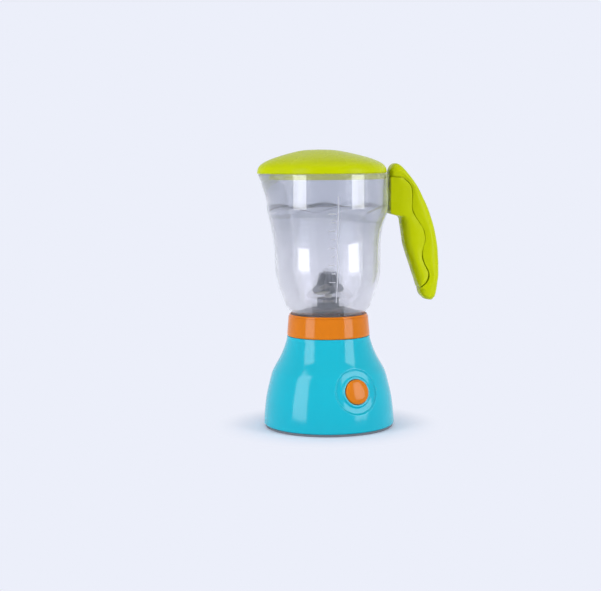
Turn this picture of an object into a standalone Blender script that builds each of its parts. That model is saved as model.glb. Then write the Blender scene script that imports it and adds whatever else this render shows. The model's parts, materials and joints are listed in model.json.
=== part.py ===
"""Toy blender: a battery base with a geared motor, a clear jug that lifts off it, and a lid.

Metres, +Z up, origin on the floor under the base's centre. The handle points along +X, and the base is set
down a little turned under the jug, so its button faces between -Y and +X. Sizes are in the constants below.
"""

import math

import bmesh
import bpy
import numpy as np
from mathutils import Vector

MM = 0.001
CLEAR = 0.3 * MM
OVERRUN = 4.0 * MM
JOIN = 0.5 * MM
WELD = 0.01 * MM
TURN = 2 * math.pi
QUARTER = TURN / 4
ROUND = 36
MIDDLING = 20
SMALL = 10
WIRE_SIDES = 2
SPRING_SIDES = 1

# Base housing: a flared shell. Its shares run from the neck's radius to the foot's, and from the foot's
# height to the shoulder's
BASE_TURN = math.radians(18)
FOOT_R = 55.5 * MM
NECK_R = 35.1 * MM
FOOT_Z = 1.9 * MM
BASE_WALL = 2.2 * MM
FLARE_SHARES = (
    (0.0, 1.0),
    (0.015, 0.965),
    (0.064, 0.916),
    (0.157, 0.842),
    (0.304, 0.752),
    (0.515, 0.66),
    (0.662, 0.569),
    (0.745, 0.479),
    (0.828, 0.386),
    (0.917, 0.293),
    (0.95, 0.16),
    (1.0, 0.028),
    (0.955, 0.0),
)
PLUG_R = 30.5 * MM
PLUG_HEIGHT = 13.7 * MM
PLUG_EDGE = 1.3 * MM
DECK_WALL = 2.0 * MM

# Base plate with its battery compartment. The cells are shares of the foot's radius
PLATE_INSET = 1.2 * MM
PLATE_R = FOOT_R - PLATE_INSET
PLATE_T = 1.6 * MM
PLATE_EDGE = 0.4 * MM
LIP_WALL = 1.5 * MM
LIP_HEIGHT = 4.0 * MM
CELL_R_SHARE = 0.236
CELL_LENGTH_SHARE = 0.9
CELL_R = CELL_R_SHARE * FOOT_R
CELL_LENGTH = CELL_LENGTH_SHARE * FOOT_R
CELL_NUB_R = 3.3 * MM
CELL_NUB_HEIGHT = 2.0 * MM
CELL_EDGE = 0.8 * MM
CELL_SPACE = 0.5 * MM
DOOR_T = 2.0 * MM
DOOR_MARGIN = 2.8 * MM
DOOR_CORNER = 5.0 * MM
LUG_INSET = 16.0 * MM
LUG_X = FOOT_R - LUG_INSET
LUG_R = 5.0 * MM
LUG_HEIGHT = 4.0 * MM
LUG_WALL = 2.4 * MM
LUG_BOSS_HEIGHT = 14.0 * MM
PAN_WALL = 2.3 * MM
BOX_WALL = 1.8 * MM
CONTACT_DEPTH = 3.7 * MM
PLATE_SCREW_INSET = 8.6 * MM
PLATE_SCREW_ANGLE = math.radians(55.6)
PLATE_SCREW_X = (FOOT_R - PLATE_SCREW_INSET) * math.cos(PLATE_SCREW_ANGLE)
PLATE_SCREW_Y = (FOOT_R - PLATE_SCREW_INSET) * math.sin(PLATE_SCREW_ANGLE)
SCREW_CUP_R = 5.2 * MM
SCREW_CUP_HEIGHT = 4.3 * MM
SCREW_POST_R = 4.2 * MM

# Screws
SCREW_HEAD_R = 3.0 * MM
SCREW_HEAD_T = 1.4 * MM
SCREW_R = 1.3 * MM
SCREW_TIP = 1.0 * MM
SCREW_SLOT_SHARE = 0.4
PLATE_SCREW_LENGTH = 12.0 * MM
DOOR_SCREW_LENGTH = 10.0 * MM
HANDLE_SCREW_LENGTH = 12.5 * MM

# Battery contacts
CONTACT_T = 0.6 * MM
CONTACT_WIDTH = 14.0 * MM
CONTACT_HEIGHT = 20.0 * MM
CONTACT_NUB_R = 3.0 * MM
TAB_WIDTH = 4.0 * MM
TAB_RISE = 3.5 * MM
CONE_R = 6.0 * MM
CONE_TIP_R = 3.2 * MM
CONE_WIRE_R = 0.4 * MM
CONE_TURNS = 2.5
CONE_POINTS = 9

# Button, on the front of the base, and its dish, both shares of the foot's radius. Depths are along the
# button's own axis, from the wall's surface
BUTTON_OVER_BOX = 5.2 * MM
DISH_SHARE = 1 / 3
DISH_R = DISH_SHARE * FOOT_R
DISH_DEPTH = 3.0 * MM
DISH_BACK_T = 2.2 * MM
DISH_RIM = 2.2 * MM
BUTTON_SHARE = 0.1856
BUTTON_R = BUTTON_SHARE * FOOT_R
RING_WALL = 2.0 * MM
RING_RISE = 1.4 * MM
BUTTON_RISE = 1.5 * MM
BUTTON_DOME = 2.6 * MM
BUTTON_DOME_STEPS = 4
BUTTON_TRAVEL = 3.0 * MM
FLANGE_LAP = 2.1 * MM
FLANGE_R = BUTTON_R + FLANGE_LAP
FLANGE_T = 1.2 * MM
GUIDE_R = 3.0 * MM
GUIDE_LENGTH = 1.5 * MM
BRACKET_GAP = 5.7 * MM
BRACKET_T = 1.5 * MM
BRACKET_HEIGHT = 12.0 * MM
BRACKET_MARGIN = 1.2 * MM
LEG_R = 2.6 * MM
LEG_X = FLANGE_R + LEG_R + 2 * CLEAR
PIN_R = 1.4 * MM
BRACKET_WIDTH = 2 * (LEG_X + PIN_R + BRACKET_MARGIN)
PIN_RISE = 0.6 * MM
PLUNGER_R = 1.5 * MM
PLUNGER_IN_SWITCH = 1.0 * MM
SWITCH_WIDTH = 12.0 * MM
SWITCH_HEIGHT = 5.0 * MM
SWITCH_DEPTH = 4.5 * MM
SPRING_R = 4.6 * MM
SPRING_WIRE_R = 0.3 * MM
SPRING_TURNS = 3
SPRING_POINTS = 9

# Gearbox: module and teeth give every centre distance
COARSE_MODULE = 1.0 * MM
FINE_MODULE = 0.8 * MM
OUTPUT_TEETH = 24
IDLER_SMALL_TEETH = 10
IDLER_LARGE_TEETH = 30
PINION_TEETH = 10
IDLER_ANGLE = math.radians(135)
MOTOR_ANGLE = math.radians(260)
TOOTH_ROOT_SHARE = 1.25
TOOTH_TIP_SHARE = 0.85
TOOTH_FOOT_WIDTH_SHARE = 0.27
TOOTH_END_WIDTH_SHARE = 0.09
GEARBOX_R = 29.8 * MM
GEARBOX_SIDE_X = 23.4 * MM
GEARBOX_PLATE_T = 1.5 * MM
GEARBOX_HEIGHT = 10.7 * MM
GEARBOX_POST_AT = 26.0 * MM
GEARBOX_POST_R = 3.2 * MM
GEARBOX_POST_ANGLES = (math.radians(45), math.radians(225), math.radians(315))
LARGE_GEAR_T = 3.5 * MM
OUTPUT_GEAR_T = 4.0 * MM
GEAR_GAP = 0.6 * MM
AXLE_R = 1.0 * MM
PINION_T = 4.0 * MM
SHAFT_R = 3.0 * MM
SHAFT_PIVOT_R = 1.7 * MM
BUSH_WALL = 1.4 * MM
BUSH_FLANGE = 2.0 * MM
BUSH_FLANGE_T = 1.2 * MM

# Motor
MOTOR_R = 10.05 * MM
MOTOR_FLAT = 7.55 * MM
MOTOR_ARC_STEPS = 6
MOTOR_LENGTH = 19.7 * MM
MOTOR_CAP_LENGTH = 4.7 * MM
MOTOR_CAP_STEP = 0.4 * MM
MOTOR_SPACE = 3.1 * MM
MOTOR_BOSS_R = 3.0 * MM
MOTOR_BOSS_RISE = 1.2 * MM
MOTOR_BORE_DEPTH = 9.0 * MM
TERMINAL_AT = 6.0 * MM
TERMINAL_WIDTH = 2.4 * MM
TERMINAL_LENGTH = 2.2 * MM
TERMINAL_T = 0.6 * MM

# Electronics
BOARD_X = 14.0 * MM
BOARD_Y = 2.0 * MM
BOARD_WIDTH = 26.0 * MM
BOARD_DEPTH = 36.0 * MM
BOARD_T = 1.6 * MM
BOARD_INSET = 3.0 * MM
STANDOFF_R = 2.5 * MM
STANDOFF_HEIGHT = 3.0 * MM
CHIP_SIZE = 9.0 * MM
CHIP_T = 2.0 * MM
SPEAKER_R = 14.0 * MM
SPEAKER_INSET = 11.0 * MM
SPEAKER_RIM = 2.0 * MM
SPEAKER_RIM_T = 1.6 * MM
SPEAKER_DEPTH = 8.0 * MM
MAGNET_R = 8.0 * MM
CONE_DEPTH = 3.0 * MM
CONE_PAPER_T = 0.5 * MM
CONE_CENTRE_R = 4.0 * MM
SPEAKER_RING_WALL = 2.2 * MM
SOUND_SLOT_WIDTH = 1.8 * MM
SOUND_SLOT_PITCH = 4.2 * MM
SOUND_SLOT_SHARES = (0.5, 0.75, 0.8, 0.75, 0.5)
LAMP_R = 2.5 * MM
LAMP_DOME_STEPS = 3
LAMP_X = 20.0 * MM
LAMP_FLANGE = 0.4 * MM
LAMP_BODY = 3.0 * MM
LAMP_RISE = 1.5 * MM
WIRE_R = 0.6 * MM
WIRE_POINTS = 9

# Drive and driven couplings
COUPLING_R = 7.2 * MM
COUPLING_HUB_R = 4.4 * MM
COUPLING_T = 2.5 * MM
COUPLING_HUB_RISE = 3.2 * MM
COUPLING_CAP = 1.2 * MM
JAW_COUNT = 3
JAW_WIDTH = math.radians(32)
JAW_STEPS = 3
JAW_IN_R = 5.2 * MM
JAW_RISE = 4.8 * MM
COUPLING_LAP = 0.5 * MM
DRIVEN_T = 1.8 * MM
DRIVEN_HUB_R = 3.6 * MM

# Collar
COLLAR_R = 33.8 * MM
COLLAR_HEIGHT = 18.4 * MM
COLLAR_EDGE = 0.8 * MM
LEDGE_R = 27.0 * MM
LEDGE_T = 1.2 * MM

# Jug: shares run from the neck's radius to the band's and from the neck's top to the band's foot
JUG_NECK_R = 31.4 * MM
JUG_R = 51.3 * MM
JUG_WALL = 2.0 * MM
JUG_NECK_HEIGHT = 2.7 * MM
JUG_BODY_HEIGHT = 88.0 * MM
JUG_BAND_HEIGHT = 29.0 * MM
JUG_SHARES = (
    (1.0, 1.0, 1.0),
    (0.935, 0.975, 0.932),
    (0.849, 0.794, 0.852),
    (0.784, 0.71, 0.773),
    (0.693, 0.667, 0.602),
    (0.673, 0.66, 0.489),
    (0.653, 0.65, 0.398),
    (0.598, 0.598, 0.318),
    (0.508, 0.508, 0.239),
    (0.377, 0.377, 0.159),
    (0.251, 0.251, 0.08),
    (0.106, 0.106, 0.028),
    (0.0, 0.0, 0.0),
)
SPOUT_REACH = 7.5 * MM
SPOUT_HEIGHT = 23.0 * MM
SPOUT_SPREAD = math.radians(42)
SPOUT_STEP_SHARES = (1.0, 0.0)

# Jug floor
FLOOR_FLANGE_T = 1.2 * MM
FLOOR_CONE_R = 28.9 * MM
FLOOR_CONE_RISE = 7.5 * MM
FLOOR_WALL = 1.5 * MM
HUB_R = 9.2 * MM
HUB_RISE = 16.0 * MM
HUB_EDGE = 0.8 * MM
STIRRER_SHAFT_R = 1.5 * MM
STIRRER_BUSH_R = 3.2 * MM
STIRRER_BUSH_HEIGHT = 3.0 * MM

# Stirrer: outlines of its fins as shares of their reach and height
STIRRER_HUB_R = 4.2 * MM
STIRRER_HEIGHT = 18.0 * MM
STIRRER_CAP = 2.0 * MM
FIN_REACH = 15.0 * MM
FIN_T = 1.6 * MM
FIN_SHARES = (
    (0.1, 0.06),
    (0.86, 0.06),
    (1.0, 0.2),
    (0.72, 0.42),
    (0.6, 0.46),
    (0.5, 0.72),
    (0.44, 0.76),
    (0.42, 0.96),
    (0.3, 1.0),
    (0.1, 0.9),
)
FIN_COUNT = 4
BLADE_REACH = 23.0 * MM
BLADE_WIDTH = 7.0 * MM
BLADE_T = 1.4 * MM
STIRRER_TURN = math.radians(20)

# Handle: shares of its reach out from the jug and of its height up from its tip. Each section goes from the
# outer curve to the inner one, with its share of the full width
HANDLE_REACH = 44.0 * MM
HANDLE_HEIGHT = 117.9 * MM
HANDLE_RISE = 7.9 * MM
HANDLE_WIDTH = 20.0 * MM
HANDLE_ROUNDING_SHARE = 0.5
HANDLE_SECTION_POINTS = 16
HANDLE_SHARES = (
    ((0.153, 1.0), (0.085, 0.985), 0.5),
    ((0.257, 0.982), (0.0, 0.955), 0.85),
    ((0.383, 0.926), (-0.07, 0.93), 1.0),
    ((0.529, 0.854), (-0.07, 0.86), 1.0),
    ((0.695, 0.751), (-0.07, 0.75), 1.0),
    ((0.819, 0.638), (-0.07, 0.644), 1.0),
    ((0.85, 0.605), (0.242, 0.616), 1.0),
    ((0.926, 0.502), (0.279, 0.517), 1.0),
    ((0.965, 0.42), (0.318, 0.421), 1.0),
    ((0.995, 0.32), (0.403, 0.317), 1.0),
    ((0.995, 0.225), (0.508, 0.197), 1.0),
    ((0.967, 0.141), (0.597, 0.11), 1.0),
    ((0.945, 0.065), (0.65, 0.05), 0.98),
    ((0.917, 0.027), (0.705, 0.018), 0.86),
    ((0.872, 0.004), (0.77, 0.0), 0.55),
)
PARTING_SHARES = (
    (-0.3, 0.902),
    (0.142, 0.902),
    (0.235, 0.902),
    (0.34, 0.878),
    (0.423, 0.838),
    (0.466, 0.798),
    (0.449, 0.734),
    (0.444, 0.678),
    (0.508, 0.622),
    (0.612, 0.566),
    (0.695, 0.509),
    (0.706, 0.453),
    (0.664, 0.398),
    (0.643, 0.333),
    (0.695, 0.277),
    (0.769, 0.229),
    (0.789, 0.189),
    (0.758, 0.141),
    (0.675, 0.1),
    (0.612, 0.092),
    (0.5, 0.088),
    (-0.3, 0.088),
)
HANDLE_SCREW_SHARES = (0.7, 0.84)
HANDLE_BOSS_R = 3.6 * MM
HANDLE_BOSS_RISE = 3.6 * MM
HANDLE_POCKET_R = 3.4 * MM
HANDLE_POCKET_AT = 10.5 * MM

# Lid: shares of its half width and of its height
LID_INSET = 0.8 * MM
LID_REACH = JUG_R - LID_INSET
LID_SPOUT_REACH = 9.2 * MM
LID_HEIGHT = 19.7 * MM
LID_WALL = 2.0 * MM
LID_APEX_X = -7.0 * MM
LID_SHARES = (
    (0.0, 1.0),
    (0.16, 0.988),
    (0.307, 0.945),
    (0.512, 0.82),
    (0.685, 0.69),
    (0.819, 0.56),
    (0.913, 0.43),
    (0.969, 0.3),
    (0.992, 0.12),
    (1.0, 0.0),
)
SKIRT_SPACE = 0.4 * MM
SKIRT_WALL = 1.8 * MM
SKIRT_DEPTH = 6.8 * MM

# Places that follow from the sizes above. The base is as tall as its cells, motor and gearbox make it
CELL_Z = DOOR_T + CLEAR + CELL_R
BOX_ROOF_Z = CELL_Z + CELL_R + CLEAR
BOX_TOP = BOX_ROOF_Z + BOX_WALL
CELL_X = CELL_R + CELL_SPACE
BOX_HALF_X = CELL_X + CELL_R + CELL_SPACE
BOX_HALF_Y = CELL_LENGTH / 2 + CONTACT_DEPTH + CLEAR
MOTOR_CAP_Z = BOX_TOP + MOTOR_SPACE + TERMINAL_LENGTH
MOTOR_Z = MOTOR_CAP_Z + MOTOR_CAP_LENGTH + CLEAR
MOTOR_TOP = MOTOR_Z + MOTOR_LENGTH
LOWER_PLATE_Z = MOTOR_TOP + CLEAR
UPPER_PLATE_Z = LOWER_PLATE_Z + GEARBOX_PLATE_T + GEARBOX_HEIGHT
SHOULDER_Z = UPPER_PLATE_Z + GEARBOX_PLATE_T + JOIN + BASE_WALL
PLUG_Z = SHOULDER_Z + PLUG_HEIGHT
DECK_Z = PLUG_Z - DECK_WALL
BUTTON_Z = BOX_TOP + BUTTON_OVER_BOX
COLLAR_Z = SHOULDER_Z + CLEAR
LEDGE_Z = PLUG_Z + CLEAR
FLOOR_Z = LEDGE_Z + LEDGE_T + CLEAR
FLOOR_TOP = FLOOR_Z + FLOOR_FLANGE_T
JUG_Z = FLOOR_TOP + CLEAR
JUG_NECK_Z = JUG_Z + JUG_NECK_HEIGHT
BAND_Z = JUG_NECK_Z + JUG_BODY_HEIGHT
RIM_Z = BAND_Z + JUG_BAND_HEIGHT
LID_Z = RIM_Z + CLEAR
HUB_TOP = FLOOR_TOP + HUB_RISE
BUSH_Z = HUB_TOP + CLEAR
STIRRER_Z = BUSH_Z + STIRRER_BUSH_HEIGHT + CLEAR
GEAR_Z = LOWER_PLATE_Z + GEARBOX_PLATE_T + GEAR_GAP
SMALL_GEAR_TOP = UPPER_PLATE_Z - GEAR_GAP
OUTPUT_GEAR_Z = GEAR_Z + LARGE_GEAR_T + GEAR_GAP
IDLER_DISTANCE = (OUTPUT_TEETH + IDLER_SMALL_TEETH) * COARSE_MODULE / 2
MOTOR_DISTANCE = (IDLER_LARGE_TEETH + PINION_TEETH) * FINE_MODULE / 2
IDLER_X = IDLER_DISTANCE * math.cos(IDLER_ANGLE)
IDLER_Y = IDLER_DISTANCE * math.sin(IDLER_ANGLE)
MOTOR_X = IDLER_X + MOTOR_DISTANCE * math.cos(MOTOR_ANGLE)
MOTOR_Y = IDLER_Y + MOTOR_DISTANCE * math.sin(MOTOR_ANGLE)
BOARD_Z = BOX_TOP + STANDOFF_HEIGHT + CLEAR
BOARD_TOP = BOARD_Z + BOARD_T
COUPLING_Z = PLUG_Z + CLEAR
JAW_TOP = COUPLING_Z + COUPLING_T + JAW_RISE
DRIVEN_Z = JAW_TOP + COUPLING_LAP

for old in list(bpy.data.objects):
    bpy.data.objects.remove(old, do_unlink=True)


def collection(name):
    made = bpy.data.collections.new(name)
    bpy.context.scene.collection.children.link(made)
    return made


def plastic(name, colour, roughness, metallic=0.0):
    """A Principled material from an sRGB colour of three bytes."""
    made = bpy.data.materials.new(name)
    made.use_nodes = True
    shader = made.node_tree.nodes["Principled BSDF"]
    linear = [(byte / 255) ** 2.2 for byte in colour]
    shader.inputs["Base Color"].default_value = (*linear, 1.0)
    shader.inputs["Roughness"].default_value = roughness
    shader.inputs["Metallic"].default_value = metallic
    made.diffuse_color = (*linear, 1.0)
    return made


PARTS = collection("toy_blender")
CUTTERS = collection("cutters")
TEAL = plastic("teal_plastic", (0, 178, 203), 0.25)
LIME = plastic("lime_plastic", (184, 200, 0), 0.3)
ORANGE = plastic("orange_plastic", (232, 132, 0), 0.3)
DARK = plastic("dark_plastic", (92, 98, 106), 0.4)
CLEAR_PLASTIC = plastic("clear_plastic", (214, 216, 230), 0.08)
WHITE = plastic("white_nylon", (228, 226, 218), 0.45)
BLACK = plastic("black_plastic", (34, 34, 36), 0.4)
GREEN = plastic("circuit_green", (38, 96, 60), 0.5)
RED = plastic("red_insulation", (170, 30, 30), 0.5)
SILVER = plastic("zinc_steel", (190, 192, 196), 0.35, 1.0)
PAPER = plastic("cone_paper", (70, 66, 62), 0.9)
JACKET = plastic("cell_jacket", (58, 74, 90), 0.35)


def add(name, data, finish=None, parent=None, at=(0, 0, 0), turn=(0, 0, 0)):
    """An object among the parts where it has a finish, and otherwise a hidden helper among the cutters."""
    obj = bpy.data.objects.new(name, data)
    if finish:
        PARTS.objects.link(obj)
        data.materials.append(finish)
    else:
        CUTTERS.objects.link(obj)
        obj.hide_render = True
        obj.display_type = "WIRE"
    obj.parent = parent
    obj.location = at
    obj.rotation_euler = turn
    return obj


def empty(name, parent=None, at=(0, 0, 0), turn=(0, 0, 0)):
    obj = bpy.data.objects.new(name, None)
    PARTS.objects.link(obj)
    obj.parent = parent
    obj.location = at
    obj.rotation_euler = turn
    return obj


def smooth(mesh):
    mesh.shade_smooth()
    mesh.set_sharp_from_angle(angle=math.radians(35))


def turned(name, profile, finish=None, parent=None, steps=MIDDLING, ring=False, **place):
    """A profile of (radius, height), down the outer side, turned about Z. A ring's closes on itself."""
    mesh = bpy.data.meshes.new(name)
    edges = [(i, i + 1) for i in range(len(profile) - 1)]
    if ring:
        edges.append((len(profile) - 1, 0))
    mesh.from_pydata([(radius, 0, height) for radius, height in profile], edges, [])
    obj = add(name, mesh, finish, parent, **place)
    screw = obj.modifiers.new("Screw", "SCREW")
    screw.steps = steps
    screw.render_steps = steps
    screw.use_merge_vertices = True
    screw.merge_threshold = WELD
    return obj


def rod(name, radius, low, high, finish=None, parent=None, steps=SMALL, **place):
    """A round bar from low to high on its own Z."""
    mesh = bpy.data.meshes.new(name)
    bm = bmesh.new()
    bmesh.ops.create_cone(
        bm, cap_ends=True, segments=steps, radius1=radius, radius2=radius, depth=high - low
    )
    bmesh.ops.translate(bm, verts=bm.verts, vec=(0, 0, (low + high) / 2))
    bm.to_mesh(mesh)
    bm.free()
    smooth(mesh)
    return add(name, mesh, finish, parent, **place)


def block(name, low, high, finish=None, parent=None, **place):
    """A box between two opposite corners."""
    mesh = bpy.data.meshes.new(name)
    bm = bmesh.new()
    bmesh.ops.create_cube(bm, size=1)
    bmesh.ops.scale(bm, verts=bm.verts, vec=Vector(high) - Vector(low))
    bmesh.ops.translate(bm, verts=bm.verts, vec=(Vector(high) + Vector(low)) / 2)
    bm.to_mesh(mesh)
    bm.free()
    return add(name, mesh, finish, parent, **place)


def mesh_of(shape, name):
    """A curve object's mesh with its caps welded. The curve is removed."""
    bpy.context.view_layer.update()
    graph = bpy.context.evaluated_depsgraph_get()
    mesh = bpy.data.meshes.new_from_object(shape.evaluated_get(graph))
    mesh.name = name
    bpy.data.objects.remove(shape)
    bm = bmesh.new()
    bm.from_mesh(mesh)
    bmesh.ops.remove_doubles(bm, verts=bm.verts, dist=WELD)
    bmesh.ops.recalc_face_normals(bm, faces=bm.faces)
    bm.to_mesh(mesh)
    bm.free()
    mesh.materials.clear()
    return mesh


def flat(name, outlines, low, high, finish=None, parent=None, **place):
    """Flat outlines, the first the edge and the rest holes, extruded from low to high on Z."""
    curve = bpy.data.curves.new(name + "_outline", "CURVE")
    curve.dimensions = "2D"
    curve.fill_mode = "BOTH"
    curve.extrude = (high - low) / 2
    for outline in outlines:
        spline = curve.splines.new("POLY")
        spline.points.add(len(outline) - 1)
        for point, (x, y) in zip(spline.points, outline):
            point.co = (x, y, 0, 1)
        spline.use_cyclic_u = True
    mesh = mesh_of(add(name + "_curve", curve), name)
    bm = bmesh.new()
    bm.from_mesh(mesh)
    bmesh.ops.translate(bm, verts=bm.verts, vec=(0, 0, (low + high) / 2))
    bm.to_mesh(mesh)
    bm.free()
    smooth(mesh)
    return add(name, mesh, finish, parent, **place)


def wire_curve(name, points, radius, sides=WIRE_SIDES):
    curve = bpy.data.curves.new(name, "CURVE")
    curve.dimensions = "3D"
    curve.bevel_depth = radius
    curve.bevel_resolution = sides
    curve.use_fill_caps = True
    spline = curve.splines.new("POLY")
    spline.points.add(len(points) - 1)
    for point, place in zip(spline.points, points):
        point.co = (*place, 1)
    return curve


def coil_mesh(name, radius, end_radius, length, turns, points_a_turn, wire_radius):
    """A round spring from 0 to length on Z, its radius going evenly to end_radius."""
    count = int(turns * points_a_turn) + 1
    share = np.linspace(0, 1, count)
    angle = share * turns * TURN
    out = radius + share * (end_radius - radius)
    points = np.stack([out * np.cos(angle), out * np.sin(angle), share * length], axis=1)
    curve = wire_curve(name, points, wire_radius, SPRING_SIDES)
    return mesh_of(add(name + "_curve", curve), name)


def loft(name, rings, finish, parent=None, closed=False):
    """A skin over rings of points, outer side first and going down; closed joins the last ring to the first.

    An open one gets a face over each end ring, unless that ring is a single point.
    """
    mesh = bpy.data.meshes.new(name)
    bm = bmesh.new()
    rows = [[bm.verts.new(point) for point in ring] for ring in rings]
    last = len(rows) if closed else len(rows) - 1
    for k in range(last):
        upper = rows[k]
        lower = rows[(k + 1) % len(rows)]
        for n in range(len(upper)):
            after = (n + 1) % len(upper)
            bm.faces.new((upper[n], lower[n], lower[after], upper[after]))
    for end in (rows[0], rows[-1]):
        if not closed and (end[0].co - end[1].co).length > WELD:
            bm.faces.new(end)
    bmesh.ops.remove_doubles(bm, verts=bm.verts, dist=WELD)
    bmesh.ops.recalc_face_normals(bm, faces=bm.faces)
    bm.to_mesh(mesh)
    bm.free()
    smooth(mesh)
    return add(name, mesh, finish, parent)


def combine(obj, operation, others):
    for other in others:
        step = obj.modifiers.new(other.name, "BOOLEAN")
        step.operation = operation
        step.solver = "EXACT"
        step.object = other
    return obj


def join(obj, *others):
    return combine(obj, "UNION", others)


def cut(obj, *others):
    return combine(obj, "DIFFERENCE", others)


def keep(obj, *others):
    return combine(obj, "INTERSECT", others)


def circle(radius, x=0, y=0, steps=SMALL):
    angles = [TURN * n / steps for n in range(steps)]
    return [(x + radius * math.cos(a), y + radius * math.sin(a)) for a in angles]


def rounded(half_x, half_y, corner, steps=4):
    """A rectangle with round corners, about the origin."""
    points = []
    for quarter, (side_x, side_y) in enumerate(((1, 1), (-1, 1), (-1, -1), (1, -1))):
        for n in range(steps + 1):
            angle = QUARTER * (quarter + n / steps)
            x = side_x * (half_x - corner) + corner * math.cos(angle)
            y = side_y * (half_y - corner) + corner * math.sin(angle)
            points.append((x, y))
    return points


def grown(outline, by):
    """The outline, which runs clockwise, moved outwards by one distance."""
    points = []
    count = len(outline)
    for n, here in enumerate(outline):
        before = Vector(outline[n - 1])
        after = Vector(outline[(n + 1) % count])
        here = Vector(here)
        first = (here - before).normalized()
        second = (after - here).normalized()
        outwards = Vector((-first.y - second.y, first.x + second.x)).normalized()
        side = Vector((-first.y, first.x))
        points.append(tuple(here + outwards * (by / max(outwards.dot(side), 0.5))))
    return points


def gear_outline(teeth, module, turn):
    """Straight-sided teeth, thinner than their gaps; widths are shares of one tooth's turn."""
    pitch_r = teeth * module / 2
    root_r = pitch_r - TOOTH_ROOT_SHARE * module
    tip_r = pitch_r + TOOTH_TIP_SHARE * module
    step = TURN / teeth
    corners = (
        (-TOOTH_FOOT_WIDTH_SHARE, root_r),
        (-TOOTH_END_WIDTH_SHARE, tip_r),
        (TOOTH_END_WIDTH_SHARE, tip_r),
        (TOOTH_FOOT_WIDTH_SHARE, root_r),
    )
    points = []
    for tooth in range(teeth):
        for share, radius in corners:
            angle = turn + (tooth + share) * step
            points.append((radius * math.cos(angle), radius * math.sin(angle)))
    return points


def screw_piece(name, length, parent, **place):
    """A pan-head screw along -Z, its head's face at 0, with a dimple for the driver."""
    profile = (
        (0, -SCREW_HEAD_T * SCREW_SLOT_SHARE),
        (SCREW_HEAD_R * SCREW_SLOT_SHARE, 0),
        (SCREW_HEAD_R, 0),
        (SCREW_HEAD_R, -SCREW_HEAD_T),
        (SCREW_R, -SCREW_HEAD_T),
        (SCREW_R, -length + SCREW_TIP),
        (0, -length),
    )
    return turned(name, profile, SILVER, parent, steps=SMALL, **place)


def flare(share_r, share_z):
    radius = NECK_R + share_r * (FOOT_R - NECK_R)
    return radius, FOOT_Z + share_z * (SHOULDER_Z - FOOT_Z)


def wall_radius(height):
    """The housing's outer radius at a height."""
    points = sorted((z, r) for r, z in (flare(*shares) for shares in FLARE_SHARES))
    return float(np.interp(height, [z for z, _ in points], [r for _, r in points]))


base = empty("base_turn", turn=(0, 0, BASE_TURN))
jug = empty("jug_seat")
SLOPE = (wall_radius(BUTTON_Z - DISH_R / 2) - wall_radius(BUTTON_Z + DISH_R / 2)) / DISH_R
BUTTON_TILT = math.atan(SLOPE)
button_place = empty(
    "button_axis",
    base,
    at=(0, -wall_radius(BUTTON_Z), BUTTON_Z),
    turn=(QUARTER - BUTTON_TILT, 0, 0),
)
DISH_BACK = -DISH_DEPTH - DISH_BACK_T
FLANGE_FACE = DISH_BACK - CLEAR
FLANGE_BACK = FLANGE_FACE - FLANGE_T
GUIDE_END = FLANGE_BACK - GUIDE_LENGTH
BRACKET_FACE = FLANGE_BACK - BRACKET_GAP
BRACKET_BACK = BRACKET_FACE - BRACKET_T
SWITCH_FACE = BRACKET_BACK - CLEAR
SWITCH_BACK = SWITCH_FACE - SWITCH_DEPTH
BUTTON_HOLE_R = BUTTON_R + CLEAR
LEG_END = BRACKET_FACE + CLEAR
SPEAKER_RING_R = SPEAKER_R + SPEAKER_RING_WALL
SPEAKER_Z = LOWER_PLATE_Z - SPEAKER_RING_R - CLEAR
SPEAKER_Y = wall_radius(SPEAKER_Z) - SPEAKER_INSET


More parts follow.
